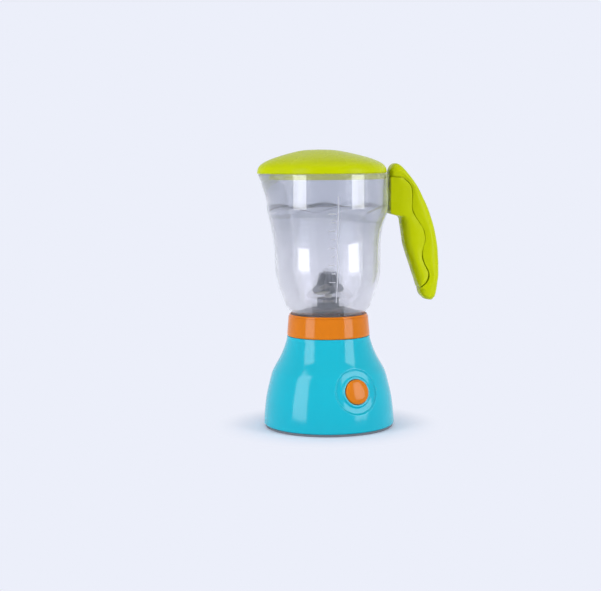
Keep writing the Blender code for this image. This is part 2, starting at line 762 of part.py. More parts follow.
def housing():
    """The flared shell with its plug: an outer form, less what is hollow inside it."""
    outer = [(0, PLUG_Z), (PLUG_R - PLUG_EDGE, PLUG_Z), (PLUG_R, PLUG_Z - PLUG_EDGE)]
    outer += [(PLUG_R, SHOULDER_Z)]
    outer += [flare(*shares) for shares in FLARE_SHARES]
    outer += [(0, FOOT_Z)]
    shell = turned("base_housing", outer, TEAL, base, steps=ROUND)

    plug_in_r = PLUG_R - BASE_WALL
    shoulder_in_z = SHOULDER_Z - BASE_WALL
    inner = [(0, DECK_Z), (plug_in_r, DECK_Z), (plug_in_r, shoulder_in_z)]
    inner.append((NECK_R - BASE_WALL, shoulder_in_z))
    for radius, height in (flare(*shares) for shares in FLARE_SHARES[1:-1:2]):
        if height < shoulder_in_z - BASE_WALL:
            inner.append((radius - BASE_WALL, height))
    inner += [(FOOT_R - BASE_WALL, FOOT_Z - OVERRUN), (0, FOOT_Z - OVERRUN)]
    hollow = turned("housing_hollow", inner, None, base, steps=ROUND)

    post_foot = SCREW_CUP_HEIGHT + CLEAR
    for side_x in (-1, 1):
        for side_y in (-1, 1):
            where = (side_x * PLATE_SCREW_X, side_y * PLATE_SCREW_Y, 0)
            tag = f"{side_x}_{side_y}"
            cut(hollow, rod("screw_post_" + tag, SCREW_POST_R, post_foot, SHOULDER_Z, None, base, at=where))
            top = post_foot + PLATE_SCREW_LENGTH
            cut(shell, rod("screw_bore_" + tag, SCREW_R + CLEAR, 0, top, None, base, at=where))
    for n, angle in enumerate(GEARBOX_POST_ANGLES):
        where = (GEARBOX_POST_AT * math.cos(angle), GEARBOX_POST_AT * math.sin(angle), 0)
        foot = UPPER_PLATE_Z + GEARBOX_PLATE_T + CLEAR
        cut(hollow, rod(f"deck_boss_{n}", GEARBOX_POST_R, foot, PLUG_Z, None, base, at=where))
        bore_top = DECK_Z - DECK_WALL
        cut(shell, rod(f"deck_bore_{n}", SCREW_R + CLEAR, 0, bore_top, None, base, at=where))

    back = DISH_R + DISH_RIM
    cut(hollow, rod("dish_back", back, DISH_BACK, OVERRUN, None, button_place, steps=MIDDLING))
    for side in (-1, 1):
        where = (side * LEG_X, 0, 0)
        cut(hollow, rod(f"leg_{side}", LEG_R, LEG_END, DISH_BACK + JOIN, None, button_place, at=where))
        pin_end = BRACKET_BACK - PIN_RISE
        cut(hollow, rod(f"pin_{side}", PIN_R, pin_end, LEG_END + JOIN, None, button_place, at=where))

    ring_in_r = SPEAKER_R - SPEAKER_RIM
    to_back = (-QUARTER, 0, 0)
    ring = turned(
        "speaker_ring",
        (
            (SPEAKER_RING_R, FOOT_R),
            (SPEAKER_RING_R, SPEAKER_Y - SPEAKER_RIM_T),
            (SPEAKER_R + CLEAR, SPEAKER_Y - SPEAKER_RIM_T),
            (SPEAKER_R + CLEAR, SPEAKER_Y + CLEAR),
            (ring_in_r, SPEAKER_Y + CLEAR),
            (ring_in_r, FOOT_R),
        ),
        None,
        base,
        ring=True,
        at=(0, 0, SPEAKER_Z),
        turn=to_back,
    )
    cut(hollow, ring)

    cut(shell, hollow)
    cut(shell, rod("dish", DISH_R, -DISH_DEPTH, FOOT_R, None, button_place, steps=ROUND))
    lip_r = BUTTON_HOLE_R + RING_WALL
    lip_top = -DISH_DEPTH + RING_RISE
    lip = turned(
        "button_lip",
        (
            (BUTTON_HOLE_R - JOIN, lip_top),
            (BUTTON_HOLE_R + RING_WALL / 2, lip_top),
            (lip_r, lip_top - RING_RISE / 2),
            (lip_r, -DISH_DEPTH - JOIN),
            (BUTTON_HOLE_R - JOIN, -DISH_DEPTH - JOIN),
        ),
        None,
        button_place,
        ring=True,
        steps=ROUND,
    )
    join(shell, lip)
    hole_low = -OVERRUN - FLANGE_R
    cut(shell, rod("button_hole", BUTTON_HOLE_R, hole_low, OVERRUN, None, button_place, steps=ROUND))
    bush_r = SHAFT_R + CLEAR + BUSH_WALL
    cut(shell, rod("bush_hole", bush_r + CLEAR, 0, PLUG_Z + OVERRUN, None, base))
    lamp_low = DECK_Z - OVERRUN
    cut(shell, rod("lamp_hole", LAMP_R + CLEAR, lamp_low, PLUG_Z + OVERRUN, None, base, at=(LAMP_X, 0, 0)))
    middle = (len(SOUND_SLOT_SHARES) - 1) / 2
    for n, share in enumerate(SOUND_SLOT_SHARES):
        x = (n - middle) * SOUND_SLOT_PITCH
        half = SOUND_SLOT_WIDTH / 2
        tall = share * SPEAKER_R
        low = (x - half, SPEAKER_Y + OVERRUN / 2, SPEAKER_Z - tall)
        high = (x + half, FOOT_R + OVERRUN, SPEAKER_Z + tall)
        cut(shell, block(f"sound_slot_{n}", low, high, None, base))


def door_outline(by):
    """The battery door's outline without its tongues, larger all round by one distance."""
    half_x = BOX_HALF_X + DOOR_MARGIN + by
    half_y = BOX_HALF_Y + DOOR_MARGIN + by
    return rounded(half_x, half_y, DOOR_CORNER + by)


def base_bottom():
    """The base plate, its door and the screws of both."""
    lip_r = FOOT_R - BASE_WALL - CLEAR
    profile = (
        (0, PLATE_T),
        (lip_r - LIP_WALL, PLATE_T),
        (lip_r - LIP_WALL, PLATE_T + LIP_HEIGHT),
        (lip_r, PLATE_T + LIP_HEIGHT),
        (lip_r, PLATE_T),
        (PLATE_R, PLATE_T),
        (PLATE_R, PLATE_EDGE),
        (PLATE_R - PLATE_EDGE, 0),
        (0, 0),
    )
    plate = turned("base_plate", profile, DARK, base, steps=ROUND)
    recess_top = DOOR_T + CLEAR
    pan_top = recess_top + DOOR_T
    join(plate, flat("door_pan", [door_outline(PAN_WALL)], JOIN, pan_top, None, base))
    outer = (BOX_HALF_X + BOX_WALL, BOX_HALF_Y + BOX_WALL, BOX_TOP)
    join(plate, block("battery_box", (-outer[0], -outer[1], JOIN), outer, None, base))
    for side in (-1, 1):
        where = (side * LUG_X, 0, 0)
        boss_r = LUG_R + CLEAR + LUG_WALL
        join(plate, rod(f"lug_boss_{side}", boss_r, JOIN, LUG_BOSS_HEIGHT, None, base, at=where))
    for n, (x, y) in enumerate(board_corners()):
        low = BOX_TOP - JOIN
        high = BOX_TOP + STANDOFF_HEIGHT
        join(plate, rod(f"standoff_{n}", STANDOFF_R, low, high, None, base, at=(x, y, 0)))
    sides = (-1, 1)
    places = [(side_x * PLATE_SCREW_X, side_y * PLATE_SCREW_Y) for side_x in sides for side_y in sides]
    face = SCREW_CUP_HEIGHT - PLATE_T - SCREW_HEAD_T - CLEAR
    for n, (x, y) in enumerate(places):
        where = (x, y, 0)
        join(plate, rod(f"screw_cup_{n}", SCREW_CUP_R, JOIN, SCREW_CUP_HEIGHT, None, base, at=where))
        pocket_top = SCREW_CUP_HEIGHT - PLATE_T
        pocket_r = SCREW_HEAD_R + CLEAR
        cut(plate, rod(f"screw_pocket_{n}", pocket_r, -OVERRUN, pocket_top, None, base, at=where))
        cut(plate, rod(f"screw_hole_{n}", SCREW_R + CLEAR, -OVERRUN, LUG_BOSS_HEIGHT, None, base, at=where))
        screw_piece(f"plate_screw_{n + 1}", PLATE_SCREW_LENGTH, base, at=(x, y, face), turn=(TURN / 2, 0, 0))
    cut(plate, flat("door_recess", [door_outline(CLEAR)], -OVERRUN, recess_top, None, base))
    box_low = (-BOX_HALF_X, -BOX_HALF_Y, -OVERRUN)
    box_high = (BOX_HALF_X, BOX_HALF_Y, BOX_ROOF_Z)
    cut(plate, block("battery_space", box_low, box_high, None, base))
    tongue = (LUG_X, LUG_R + CLEAR, recess_top)
    cut(plate, block("tongue_space", (-tongue[0], -tongue[1], -OVERRUN), tongue, None, base))
    slot_x = TAB_WIDTH / 2 + CLEAR
    slot_y = CONTACT_T + 2 * CLEAR
    door = flat("battery_door", [door_outline(0)], 0, DOOR_T, DARK, base)
    tongue_y = LUG_R - JOIN
    low = (-LUG_X, -tongue_y, 0)
    join(door, block("door_tongue", low, (LUG_X, tongue_y, DOOR_T), None, base))
    for side in (-1, 1):
        where = (side * LUG_X, 0, 0)
        space = rod(f"lug_space_{side}", LUG_R + CLEAR, -OVERRUN, LUG_HEIGHT + CLEAR, None, base, at=where)
        bore = rod(f"lug_bore_{side}", SCREW_R + CLEAR, 0, DOOR_SCREW_LENGTH + DOOR_T, None, base, at=where)
        at_y = -BOX_HALF_Y + CLEAR + CONTACT_T / 2
        low = (side * CELL_X - slot_x, at_y - slot_y, BOX_ROOF_Z - OVERRUN)
        high = (side * CELL_X + slot_x, at_y + slot_y, BOX_TOP + OVERRUN)
        cut(plate, space, bore, block(f"tab_slot_{side}", low, high, None, base))
        lug = rod(f"door_lug_{side}", LUG_R, 0, LUG_HEIGHT, None, base, at=where)
        pocket_top = LUG_HEIGHT / 2
        pocket = rod(f"lug_pocket_{side}", SCREW_HEAD_R + CLEAR, -OVERRUN, pocket_top, None, base, at=where)
        hole = rod(f"lug_hole_{side}", SCREW_R + CLEAR, -OVERRUN, LUG_HEIGHT + OVERRUN, None, base, at=where)
        join(door, lug)
        cut(door, pocket, hole)
        number = (side + 3) // 2
        face = pocket_top - CLEAR - SCREW_HEAD_T
        where = (side * LUG_X, 0, face)
        screw_piece(f"door_screw_{number}", DOOR_SCREW_LENGTH, base, at=where, turn=(TURN / 2, 0, 0))


def cells():
    """Two round cells, nose to tail, and the three spring contacts at their ends."""
    half = CELL_LENGTH / 2
    nub_z = half - CELL_NUB_HEIGHT
    profile = (
        (0, half),
        (CELL_NUB_R, half),
        (CELL_NUB_R, nub_z),
        (CELL_R - CELL_EDGE, nub_z),
        (CELL_R, nub_z - CELL_EDGE),
        (CELL_R, CELL_EDGE - half),
        (CELL_R - CELL_EDGE, -half),
        (0, -half),
    )
    for number, side in ((1, -1), (2, 1)):
        where = (side * CELL_X, 0, CELL_Z)
        turned(f"battery_{number}", profile, JACKET, base, at=where, turn=(-side * QUARTER, 0, 0))

    plate_y = BOX_HALF_Y - CLEAR
    tip_y = half + CLEAR
    reach = plate_y - CONTACT_T / 2 - tip_y

    def nub(x, end):
        where = (x, end * tip_y, CELL_Z)
        return rod(f"nub_{end}", CONTACT_NUB_R, 0, reach, None, base, at=where, turn=(-end * QUARTER, 0, 0))

    def cone(x, end):
        length = reach - CONE_WIRE_R
        mesh = coil_mesh(f"cone_{end}", CONE_R, CONE_TIP_R, length, CONE_TURNS, CONE_POINTS, CONE_WIRE_R)
        where = (x, end * (plate_y - CONTACT_T / 2), CELL_Z)
        return add(f"cone_{end}", mesh, None, base, at=where, turn=(end * QUARTER, 0, 0))

    def strip(name, x, half_width, half_height, end):
        low_y, high_y = sorted((end * plate_y, end * (plate_y - CONTACT_T)))
        low = (x - half_width, low_y, CELL_Z - half_height)
        high = (x + half_width, high_y, CELL_Z + half_height)
        return block(name, low, high, SILVER, base)

    def tab(x):
        low = (x - TAB_WIDTH / 2, -plate_y, CELL_Z)
        high = (x + TAB_WIDTH / 2, CONTACT_T - plate_y, BOX_TOP + TAB_RISE)
        return block(f"tab_{x:.3f}", low, high, None, base)

    bridge = strip("contact_bridge", 0, CELL_X + CONTACT_WIDTH / 2, CONTACT_WIDTH / 2, 1)
    join(bridge, nub(CELL_X, 1), cone(-CELL_X, 1))
    positive = strip("contact_positive", -CELL_X, CONTACT_WIDTH / 2, CONTACT_HEIGHT / 2, -1)
    join(positive, tab(-CELL_X), nub(-CELL_X, -1))
    negative = strip("contact_negative", CELL_X, CONTACT_WIDTH / 2, CONTACT_HEIGHT / 2, -1)
    join(negative, tab(CELL_X), cone(CELL_X, -1))


def button():
    """The push button, its spring, the bracket on two legs, and the switch behind it."""
    cap_top = BUTTON_RISE
    dome_z = cap_top - BUTTON_DOME
    angles = [QUARTER * n / BUTTON_DOME_STEPS for n in range(BUTTON_DOME_STEPS + 1)]
    profile = [(BUTTON_R * math.sin(a), dome_z + BUTTON_DOME * math.cos(a)) for a in angles]
    profile += [
        (BUTTON_R, FLANGE_FACE),
        (FLANGE_R, FLANGE_FACE),
        (FLANGE_R, FLANGE_BACK),
        (GUIDE_R, FLANGE_BACK),
        (GUIDE_R, GUIDE_END),
        (0, GUIDE_END),
    ]
    turned("button", profile, ORANGE, button_place)
    spring_low = BRACKET_FACE + CLEAR + SPRING_WIRE_R
    spring_length = BRACKET_GAP - 2 * (CLEAR + SPRING_WIRE_R)
    mesh = coil_mesh(
        "button_spring", SPRING_R, SPRING_R, spring_length, SPRING_TURNS, SPRING_POINTS, SPRING_WIRE_R
    )
    add("button_spring", mesh, SILVER, button_place, at=(0, 0, spring_low))
    plate = rounded(BRACKET_WIDTH / 2, BRACKET_HEIGHT / 2, PIN_R)
    holes = [plate, circle(PLUNGER_R + CLEAR)]
    holes += [circle(PIN_R + CLEAR, side * LEG_X) for side in (-1, 1)]
    flat("switch_bracket", holes, BRACKET_BACK, BRACKET_FACE, BLACK, button_place)
    low = (-SWITCH_WIDTH / 2, -SWITCH_HEIGHT / 2, SWITCH_BACK)
    high = (SWITCH_WIDTH / 2, SWITCH_HEIGHT / 2, SWITCH_FACE)
    body = block("switch_body", low, high, BLACK, button_place)
    bore_end = SWITCH_FACE - PLUNGER_IN_SWITCH - BUTTON_TRAVEL - CLEAR
    cut(body, rod("plunger_bore", PLUNGER_R + CLEAR, bore_end, SWITCH_FACE + OVERRUN, None, button_place))
    plunger_end = SWITCH_FACE - PLUNGER_IN_SWITCH
    rod("switch_plunger", PLUNGER_R, plunger_end, GUIDE_END - CLEAR, WHITE, button_place)


def gear_piece(name, teeth, module, turn, low, high, finish=None, **place):
    return flat(name, [gear_outline(teeth, module, turn)], low, high, finish, base, **place)


def gearbox():
    """Two plates with three posts between them, a compound gear on its axle, and the drive shaft's gear."""
    across = math.acos(GEARBOX_SIDE_X / GEARBOX_R)
    arc = np.linspace(across, TURN - across, MIDDLING)
    edge = [(GEARBOX_R * math.cos(a), GEARBOX_R * math.sin(a)) for a in arc]
    posts = [
        (GEARBOX_POST_AT * math.cos(angle), GEARBOX_POST_AT * math.sin(angle))
        for angle in GEARBOX_POST_ANGLES
    ]
    axle_hole = circle(AXLE_R + CLEAR, IDLER_X, IDLER_Y)
    motor_hole = circle(MOTOR_BOSS_R + CLEAR, MOTOR_X, MOTOR_Y)
    pivot_hole = circle(SHAFT_PIVOT_R + CLEAR)
    lower_top = LOWER_PLATE_Z + GEARBOX_PLATE_T
    lower_holes = [axle_hole, motor_hole, pivot_hole]
    lower = flat("gearbox_lower_plate", [edge, *lower_holes], LOWER_PLATE_Z, lower_top, WHITE, base)
    upper_top = UPPER_PLATE_Z + GEARBOX_PLATE_T
    shaft_hole = circle(SHAFT_R + CLEAR)
    screw_holes = [circle(SCREW_R + CLEAR, x, y) for x, y in posts]
    flat(
        "gearbox_upper_plate",
        [edge, axle_hole, shaft_hole, *screw_holes],
        UPPER_PLATE_Z,
        upper_top,
        WHITE,
        base,
    )
    head_face = LOWER_PLATE_Z - CLEAR - SCREW_HEAD_T
    length = PLUG_Z - 2 * DECK_WALL - CLEAR - head_face
    for n, (x, y) in enumerate(posts):
        where = (x, y, 0)
        post_top = UPPER_PLATE_Z - CLEAR
        join(lower, rod(f"box_post_{n}", GEARBOX_POST_R, lower_top - JOIN, post_top, None, base, at=where))
        cut(lower, rod(f"box_bore_{n}", SCREW_R + CLEAR, 0, SHOULDER_Z, None, base, at=where))
        where = (x, y, head_face)
        screw_piece(f"gearbox_screw_{n + 1}", length, base, at=where, turn=(TURN / 2, 0, 0))

    axle_low = LOWER_PLATE_Z - CLEAR
    rod("idler_axle", AXLE_R, axle_low, upper_top, SILVER, base, at=(IDLER_X, IDLER_Y, 0))
    idler_at = (IDLER_X, IDLER_Y, 0)
    small_turn = IDLER_ANGLE + TURN / 2 + TURN / IDLER_SMALL_TEETH / 2
    large_top = GEAR_Z + LARGE_GEAR_T
    idler = gear_piece(
        "idler_gear", IDLER_LARGE_TEETH, FINE_MODULE, MOTOR_ANGLE, GEAR_Z, large_top, WHITE, at=idler_at
    )
    small = gear_piece(
        "idler_small",
        IDLER_SMALL_TEETH,
        COARSE_MODULE,
        small_turn,
        large_top - JOIN,
        SMALL_GEAR_TOP,
        at=idler_at,
    )
    bore = rod("idler_bore", AXLE_R + CLEAR, 0, PLUG_Z, None, base, at=idler_at)
    join(idler, small)
    cut(idler, bore)

    output_top = OUTPUT_GEAR_Z + OUTPUT_GEAR_T
    output = gear_piece(
        "output_gear", OUTPUT_TEETH, COARSE_MODULE, IDLER_ANGLE, OUTPUT_GEAR_Z, output_top, WHITE
    )
    cut(output, rod("output_bore", SHAFT_R + CLEAR, 0, PLUG_Z, None, base))
    shaft_foot = lower_top + CLEAR
    shaft_top = COUPLING_Z + COUPLING_T + COUPLING_HUB_RISE - COUPLING_CAP - CLEAR
    profile = (
        (0, shaft_top),
        (SHAFT_R, shaft_top),
        (SHAFT_R, shaft_foot),
        (SHAFT_PIVOT_R, shaft_foot),
        (SHAFT_PIVOT_R, LOWER_PLATE_Z),
        (0, LOWER_PLATE_Z),
    )
    turned("drive_shaft", profile, SILVER, base)
    bush_in = SHAFT_R + CLEAR
    bush_out = bush_in + BUSH_WALL
    flange_top = DECK_Z - CLEAR
    profile = (
        (bush_out, PLUG_Z - CLEAR),
        (bush_out, flange_top),
        (bush_out + BUSH_FLANGE, flange_top),
        (bush_out + BUSH_FLANGE, flange_top - BUSH_FLANGE_T),
        (bush_in, flange_top - BUSH_FLANGE_T),
        (bush_in, PLUG_Z - CLEAR),
    )
    turned("output_bush", profile, WHITE, base, ring=True)


def flatted(radius, half_flat):
    """A circle with two flats across Y."""
    points = []
    limit = math.asin(half_flat / radius)
    for middle in (0, TURN / 2):
        for n in range(MOTOR_ARC_STEPS + 1):
            angle = middle - limit + 2 * limit * n / MOTOR_ARC_STEPS
            points.append((radius * math.cos(angle), radius * math.sin(angle)))
    return points


def motor():
    """A small flat-sided motor hanging under the gearbox, with its pinion."""
    where = (MOTOR_X, MOTOR_Y, 0)
    can = flat("motor_can", [flatted(MOTOR_R, MOTOR_FLAT)], MOTOR_Z, MOTOR_TOP, SILVER, base, at=where)
    boss_top = MOTOR_TOP + MOTOR_BOSS_RISE
    join(can, rod("motor_boss", MOTOR_BOSS_R, MOTOR_TOP - JOIN, boss_top, None, base, at=where))
    shaft_low = MOTOR_TOP - MOTOR_BORE_DEPTH
    cut(can, rod("motor_bore", AXLE_R + CLEAR, shaft_low - CLEAR, PLUG_Z, None, base, at=where))
    cap_r = MOTOR_R - MOTOR_CAP_STEP
    cap_flat = MOTOR_FLAT - MOTOR_CAP_STEP
    cap_top = MOTOR_Z - CLEAR
    cap = flat("motor_endcap", [flatted(cap_r, cap_flat)], MOTOR_CAP_Z, cap_top, BLACK, base, at=where)
    for side in (-1, 1):
        x = side * TERMINAL_AT
        low = (x - TERMINAL_T / 2, -TERMINAL_WIDTH / 2, MOTOR_CAP_Z - TERMINAL_LENGTH)
        high = (x + TERMINAL_T / 2, TERMINAL_WIDTH / 2, MOTOR_CAP_Z + JOIN)
        join(cap, block(f"terminal_{side}", low, high, None, base, at=where))
    pinion_top = GEAR_Z + PINION_T
    rod("motor_shaft", AXLE_R, shaft_low, pinion_top + CLEAR, SILVER, base, at=where)
    turn = MOTOR_ANGLE + TURN / 2 + TURN / PINION_TEETH / 2
    pinion = gear_piece(
        "motor_pinion", PINION_TEETH, FINE_MODULE, turn, GEAR_Z, pinion_top, WHITE, at=where
    )
    cut(pinion, rod("pinion_bore", AXLE_R + CLEAR, 0, PLUG_Z, None, base, at=where))


def board_corners():
    half_x = BOARD_WIDTH / 2 - BOARD_INSET
    half_y = BOARD_DEPTH / 2 - BOARD_INSET
    sides = (-1, 1)
    return [(BOARD_X + side_x * half_x, BOARD_Y + side_y * half_y) for side_x in sides for side_y in sides]


def electronics():
    """The circuit board with its chip, the speaker at the back, and the lamp in the deck."""
    half_x = BOARD_WIDTH / 2
    half_y = BOARD_DEPTH / 2
    low = (BOARD_X - half_x, BOARD_Y - half_y, BOARD_Z)
    high = (BOARD_X + half_x, BOARD_Y + half_y, BOARD_TOP)
    block("circuit_board", low, high, GREEN, base)
    half = CHIP_SIZE / 2
    low = (BOARD_X - half, BOARD_Y - half, BOARD_TOP + CLEAR)
    high = (BOARD_X + half, BOARD_Y + half, BOARD_TOP + CLEAR + CHIP_T)
    block("sound_chip", low, high, BLACK, base)

    where = (0, 0, SPEAKER_Z)
    to_back = (-QUARTER, 0, 0)
    rim_in = SPEAKER_R - SPEAKER_RIM
    front = SPEAKER_Y
    back = SPEAKER_Y - SPEAKER_DEPTH
    pocket = front - CONE_DEPTH - 2 * CONE_PAPER_T
    frame = (
        (0, pocket),
        (CONE_CENTRE_R + CLEAR, pocket),
        (rim_in, front),
        (SPEAKER_R, front),
        (SPEAKER_R, front - SPEAKER_RIM_T),
        (MAGNET_R, pocket - CLEAR),
        (MAGNET_R, back),
        (0, back),
    )
    turned("speaker_frame", frame, BLACK, base, at=where, turn=to_back)
    lift = 2 * CLEAR
    centre = pocket + CLEAR
    cone = (
        (0, centre + CONE_PAPER_T),
        (CONE_CENTRE_R - CLEAR, centre + CONE_PAPER_T),
        (rim_in - lift - CONE_PAPER_T, front),
        (rim_in - lift, front),
        (CONE_CENTRE_R - CLEAR, centre),
        (0, centre),
    )
    turned("speaker_cone", cone, PAPER, base, at=where, turn=to_back)

    flange_r = LAMP_R + CLEAR + LAMP_FLANGE
    dome_z = PLUG_Z + LAMP_RISE - LAMP_R
    angles = [QUARTER * n / LAMP_DOME_STEPS for n in range(LAMP_DOME_STEPS + 1)]
    profile = [(LAMP_R * math.sin(a), dome_z + LAMP_R * math.cos(a)) for a in angles]
    profile += [
        (LAMP_R, DECK_Z - CLEAR),
        (flange_r, DECK_Z - CLEAR),
        (flange_r, DECK_Z - LAMP_BODY),
        (0, DECK_Z - LAMP_BODY),
    ]
    turned("lamp", profile, CLEAR_PLASTIC, base, steps=SMALL, at=(LAMP_X, 0, 0))


def through(points, count):
    """count points on a smooth curve (Catmull-Rom) through the given ones."""
    knots = [Vector(points[0]), *[Vector(point) for point in points], Vector(points[-1])]
    spans = len(knots) - 3
    curve = []
    for n in range(count):
        place = spans * n / (count - 1)
        k = min(int(place), spans - 1)
        t = place - k
        a, b, c, d = knots[k : k + 4]
        bend = 2 * b + (c - a) * t + (2 * a - 5 * b + 4 * c - d) * t * t
        curve.append((bend + (3 * b - a - 3 * c + d) * t**3) / 2)
    return curve


def wires():
    """Insulated leads from each component to the circuit board, ending just clear of what they meet."""
    solder_z = BOARD_TOP + CLEAR + WIRE_R
    left_x = BOARD_X - BOARD_WIDTH / 2 + BOARD_INSET
    right_x = BOARD_X + BOARD_WIDTH / 2 - BOARD_INSET
    front_y = BOARD_Y - BOARD_DEPTH / 2 + BOARD_INSET
    back_y = BOARD_Y + BOARD_DEPTH / 2 - BOARD_INSET
    tab_z = BOX_TOP + TAB_RISE - WIRE_R
    tab_y = CONTACT_T - BOX_HALF_Y + 2 * CLEAR + WIRE_R
    rise = BOARD_TOP + SCREW_CUP_R
    gap = WIRE_R * 4

    def lead(name, finish, *points):
        add(name, wire_curve(name, through(points, WIRE_POINTS), WIRE_R), finish, base)

    lead(
        "battery_wire_red",
        RED,
        (-CELL_X, tab_y, tab_z),
        (-CELL_X / 2, tab_y + gap, rise),
        (left_x - gap, front_y - gap, rise),
        (left_x, front_y, solder_z),
    )
    end_x = left_x + gap * 5
    lead(
        "battery_wire_black",
        BLACK,
        (CELL_X, tab_y, tab_z),
        (CELL_X, tab_y + gap, rise),
        (end_x, front_y - gap, rise),
        (end_x, front_y, solder_z),
    )
    terminal_z = MOTOR_CAP_Z - TERMINAL_LENGTH / 2
    for name, finish, side in (("motor_wire_red", RED, -1), ("motor_wire_black", BLACK, 1)):
        x = MOTOR_X + side * TERMINAL_AT
        y = MOTOR_Y + TERMINAL_WIDTH / 2 + CLEAR + WIRE_R
        end_y = BOARD_Y - side * gap * 2
        mid_y = y + gap * (3 if side > 0 else 4)
        lead(
            name,
            finish,
            (x, y, terminal_z),
            (x, mid_y, terminal_z),
            (0, mid_y, rise),
            (left_x, end_y, solder_z),
        )
    low = BOARD_TOP + 2 * gap
    back = SPEAKER_Y - SPEAKER_DEPTH - CLEAR - WIRE_R
    lead(
        "speaker_lead",
        BLACK,
        (0, back, SPEAKER_Z),
        (gap, back - gap, SPEAKER_Z),
        (left_x, back_y + gap, low),
        (left_x, back_y, solder_z),
    )
    lamp_foot = DECK_Z - LAMP_BODY - CLEAR - WIRE_R
    past_x = GEARBOX_SIDE_X + CLEAR + 2 * WIRE_R
    lead(
        "lamp_lead",
        BLACK,
        (LAMP_X, 0, lamp_foot),
        (past_x, 0, SHOULDER_Z),
        (past_x, 0, LOWER_PLATE_Z),
        (right_x, 0, low),
        (right_x, 0, solder_z),
    )
    switch = button_place.location
    inwards = Vector((0, math.cos(BUTTON_TILT), -math.sin(BUTTON_TILT)))
    upwards = Vector((0, math.sin(BUTTON_TILT), math.cos(BUTTON_TILT)))
    for name, finish, side in (("switch_wire_red", RED, -1), ("switch_wire_black", BLACK, 1)):
        start = switch + inwards * (-SWITCH_BACK + CLEAR + WIRE_R) + upwards * SWITCH_HEIGHT / 3
        start.x = side * SWITCH_WIDTH / 4
        bend = start + Vector((gap, gap, gap))
        end = Vector((left_x + gap * (2 + side), front_y, solder_z))
        above = end + Vector((0, -gap, gap))
        lead(name, finish, start, bend, above, end)


def jaw_outline(middle):
    start = middle - JAW_WIDTH / 2
    inner = [start + JAW_WIDTH * n / JAW_STEPS for n in range(JAW_STEPS + 1)]
    points = [(JAW_IN_R * math.cos(a), JAW_IN_R * math.sin(a)) for a in inner]
    return points + [(COUPLING_R * math.cos(a), COUPLING_R * math.sin(a)) for a in reversed(inner)]


def couplings():
    """Two jaw couplings that mesh when the jug is set down: one on the base, one under the jug's floor."""
    top = COUPLING_Z + COUPLING_T + COUPLING_HUB_RISE
    disc_top = COUPLING_Z + COUPLING_T
    bore_r = SHAFT_R + CLEAR
    profile = (
        (0, top),
        (COUPLING_HUB_R, top),
        (COUPLING_HUB_R, disc_top),
        (COUPLING_R, disc_top),
        (COUPLING_R, COUPLING_Z),
        (bore_r, COUPLING_Z),
        (bore_r, top - COUPLING_CAP),
        (0, top - COUPLING_CAP),
    )
    drive = turned("drive_coupling", profile, WHITE, base)
    for n in range(JAW_COUNT):
        outline = jaw_outline(TURN * n / JAW_COUNT)
        join(drive, flat(f"drive_jaw_{n}", [outline], disc_top - JOIN, JAW_TOP, None, base))

    driven_top = DRIVEN_Z + DRIVEN_T
    bore_r = STIRRER_SHAFT_R + CLEAR
    hub_foot = top + COUPLING_LAP
    profile = (
        (bore_r, driven_top),
        (COUPLING_R, driven_top),
        (COUPLING_R, DRIVEN_Z),
        (DRIVEN_HUB_R, DRIVEN_Z),
        (DRIVEN_HUB_R, hub_foot),
        (bore_r, hub_foot),
    )
    driven = turned("driven_coupling", profile, WHITE, jug, ring=True, turn=(0, 0, BASE_TURN))
    for n in range(JAW_COUNT):
        outline = jaw_outline(TURN * (n + 0.5) / JAW_COUNT)
        foot = disc_top + COUPLING_LAP
        where = (0, 0, BASE_TURN)
        join(driven, flat(f"driven_jaw_{n}", [outline], foot, DRIVEN_Z + JOIN, None, jug, turn=where))
    return hub_foot


def jug_radius(shares, angle):
    """The jug's outer radius from its shares on the spout side and on the handle side, blended round."""
    toward_handle = (1 + math.cos(angle)) / 2
    share = shares[0] + toward_handle * (shares[1] - shares[0])
    return JUG_NECK_R + share * (JUG_R - JUG_NECK_R)


def spout(angle, height_share):
    """How far the spout pushes out at an angle, from 0 at its foot to its whole reach at the rim."""
    off = abs(math.pi - angle % TURN)
    if off > SPOUT_SPREAD:
        return 0
    return height_share * (1 + math.cos(math.pi * off / SPOUT_SPREAD)) / 2


def jug_rings(inset, bottom):
    """Rings down the jug, from its rim, at a distance inside the outer surface."""
    angles = [TURN * n / ROUND for n in range(ROUND)]
    levels = []
    for share in SPOUT_STEP_SHARES:
        levels.append((RIM_Z - SPOUT_HEIGHT * (1 - share), (1, 1), share))
    for shares in JUG_SHARES:
        levels.append((JUG_NECK_Z + shares[2] * JUG_BODY_HEIGHT, shares[:2], 0))
    levels.append((bottom, (0, 0), 0))
    rings = []
    for height, shares, spout_share in levels:
        ring = []
        for angle in angles:
            radius = jug_radius(shares, angle) - inset + SPOUT_REACH * spout(angle, spout_share)
            ring.append((radius * math.cos(angle), radius * math.sin(angle), height))
        rings.append(ring)
    return rings


def jug_piece():
    """The clear jug: round at its neck, with a spout at its rim and two screw bosses for the handle."""
    outside = jug_rings(0, JUG_Z)
    inside = jug_rings(JUG_WALL, JUG_Z)
    inside = inside[:3] + inside[3:-3:2] + inside[-3:]
    body = loft("jug_body", outside + inside[::-1], CLEAR_PLASTIC, jug, closed=True)
    sideways = (0, QUARTER, 0)
    for n, height in enumerate(handle_screw_heights()):
        where = (0, 0, height)
        low = JUG_R - JUG_WALL / 2
        high = JUG_R + HANDLE_BOSS_RISE
        boss = rod(f"jug_boss_{n}", HANDLE_BOSS_R, low, high, None, jug, at=where, turn=sideways)
        bore_low = JUG_R - JUG_WALL / 4
        bore_high = high + OVERRUN
        bore = rod(f"jug_bore_{n}", SCREW_R + CLEAR, bore_low, bore_high, None, jug, at=where, turn=sideways)
        join(body, boss)
        cut(body, bore)


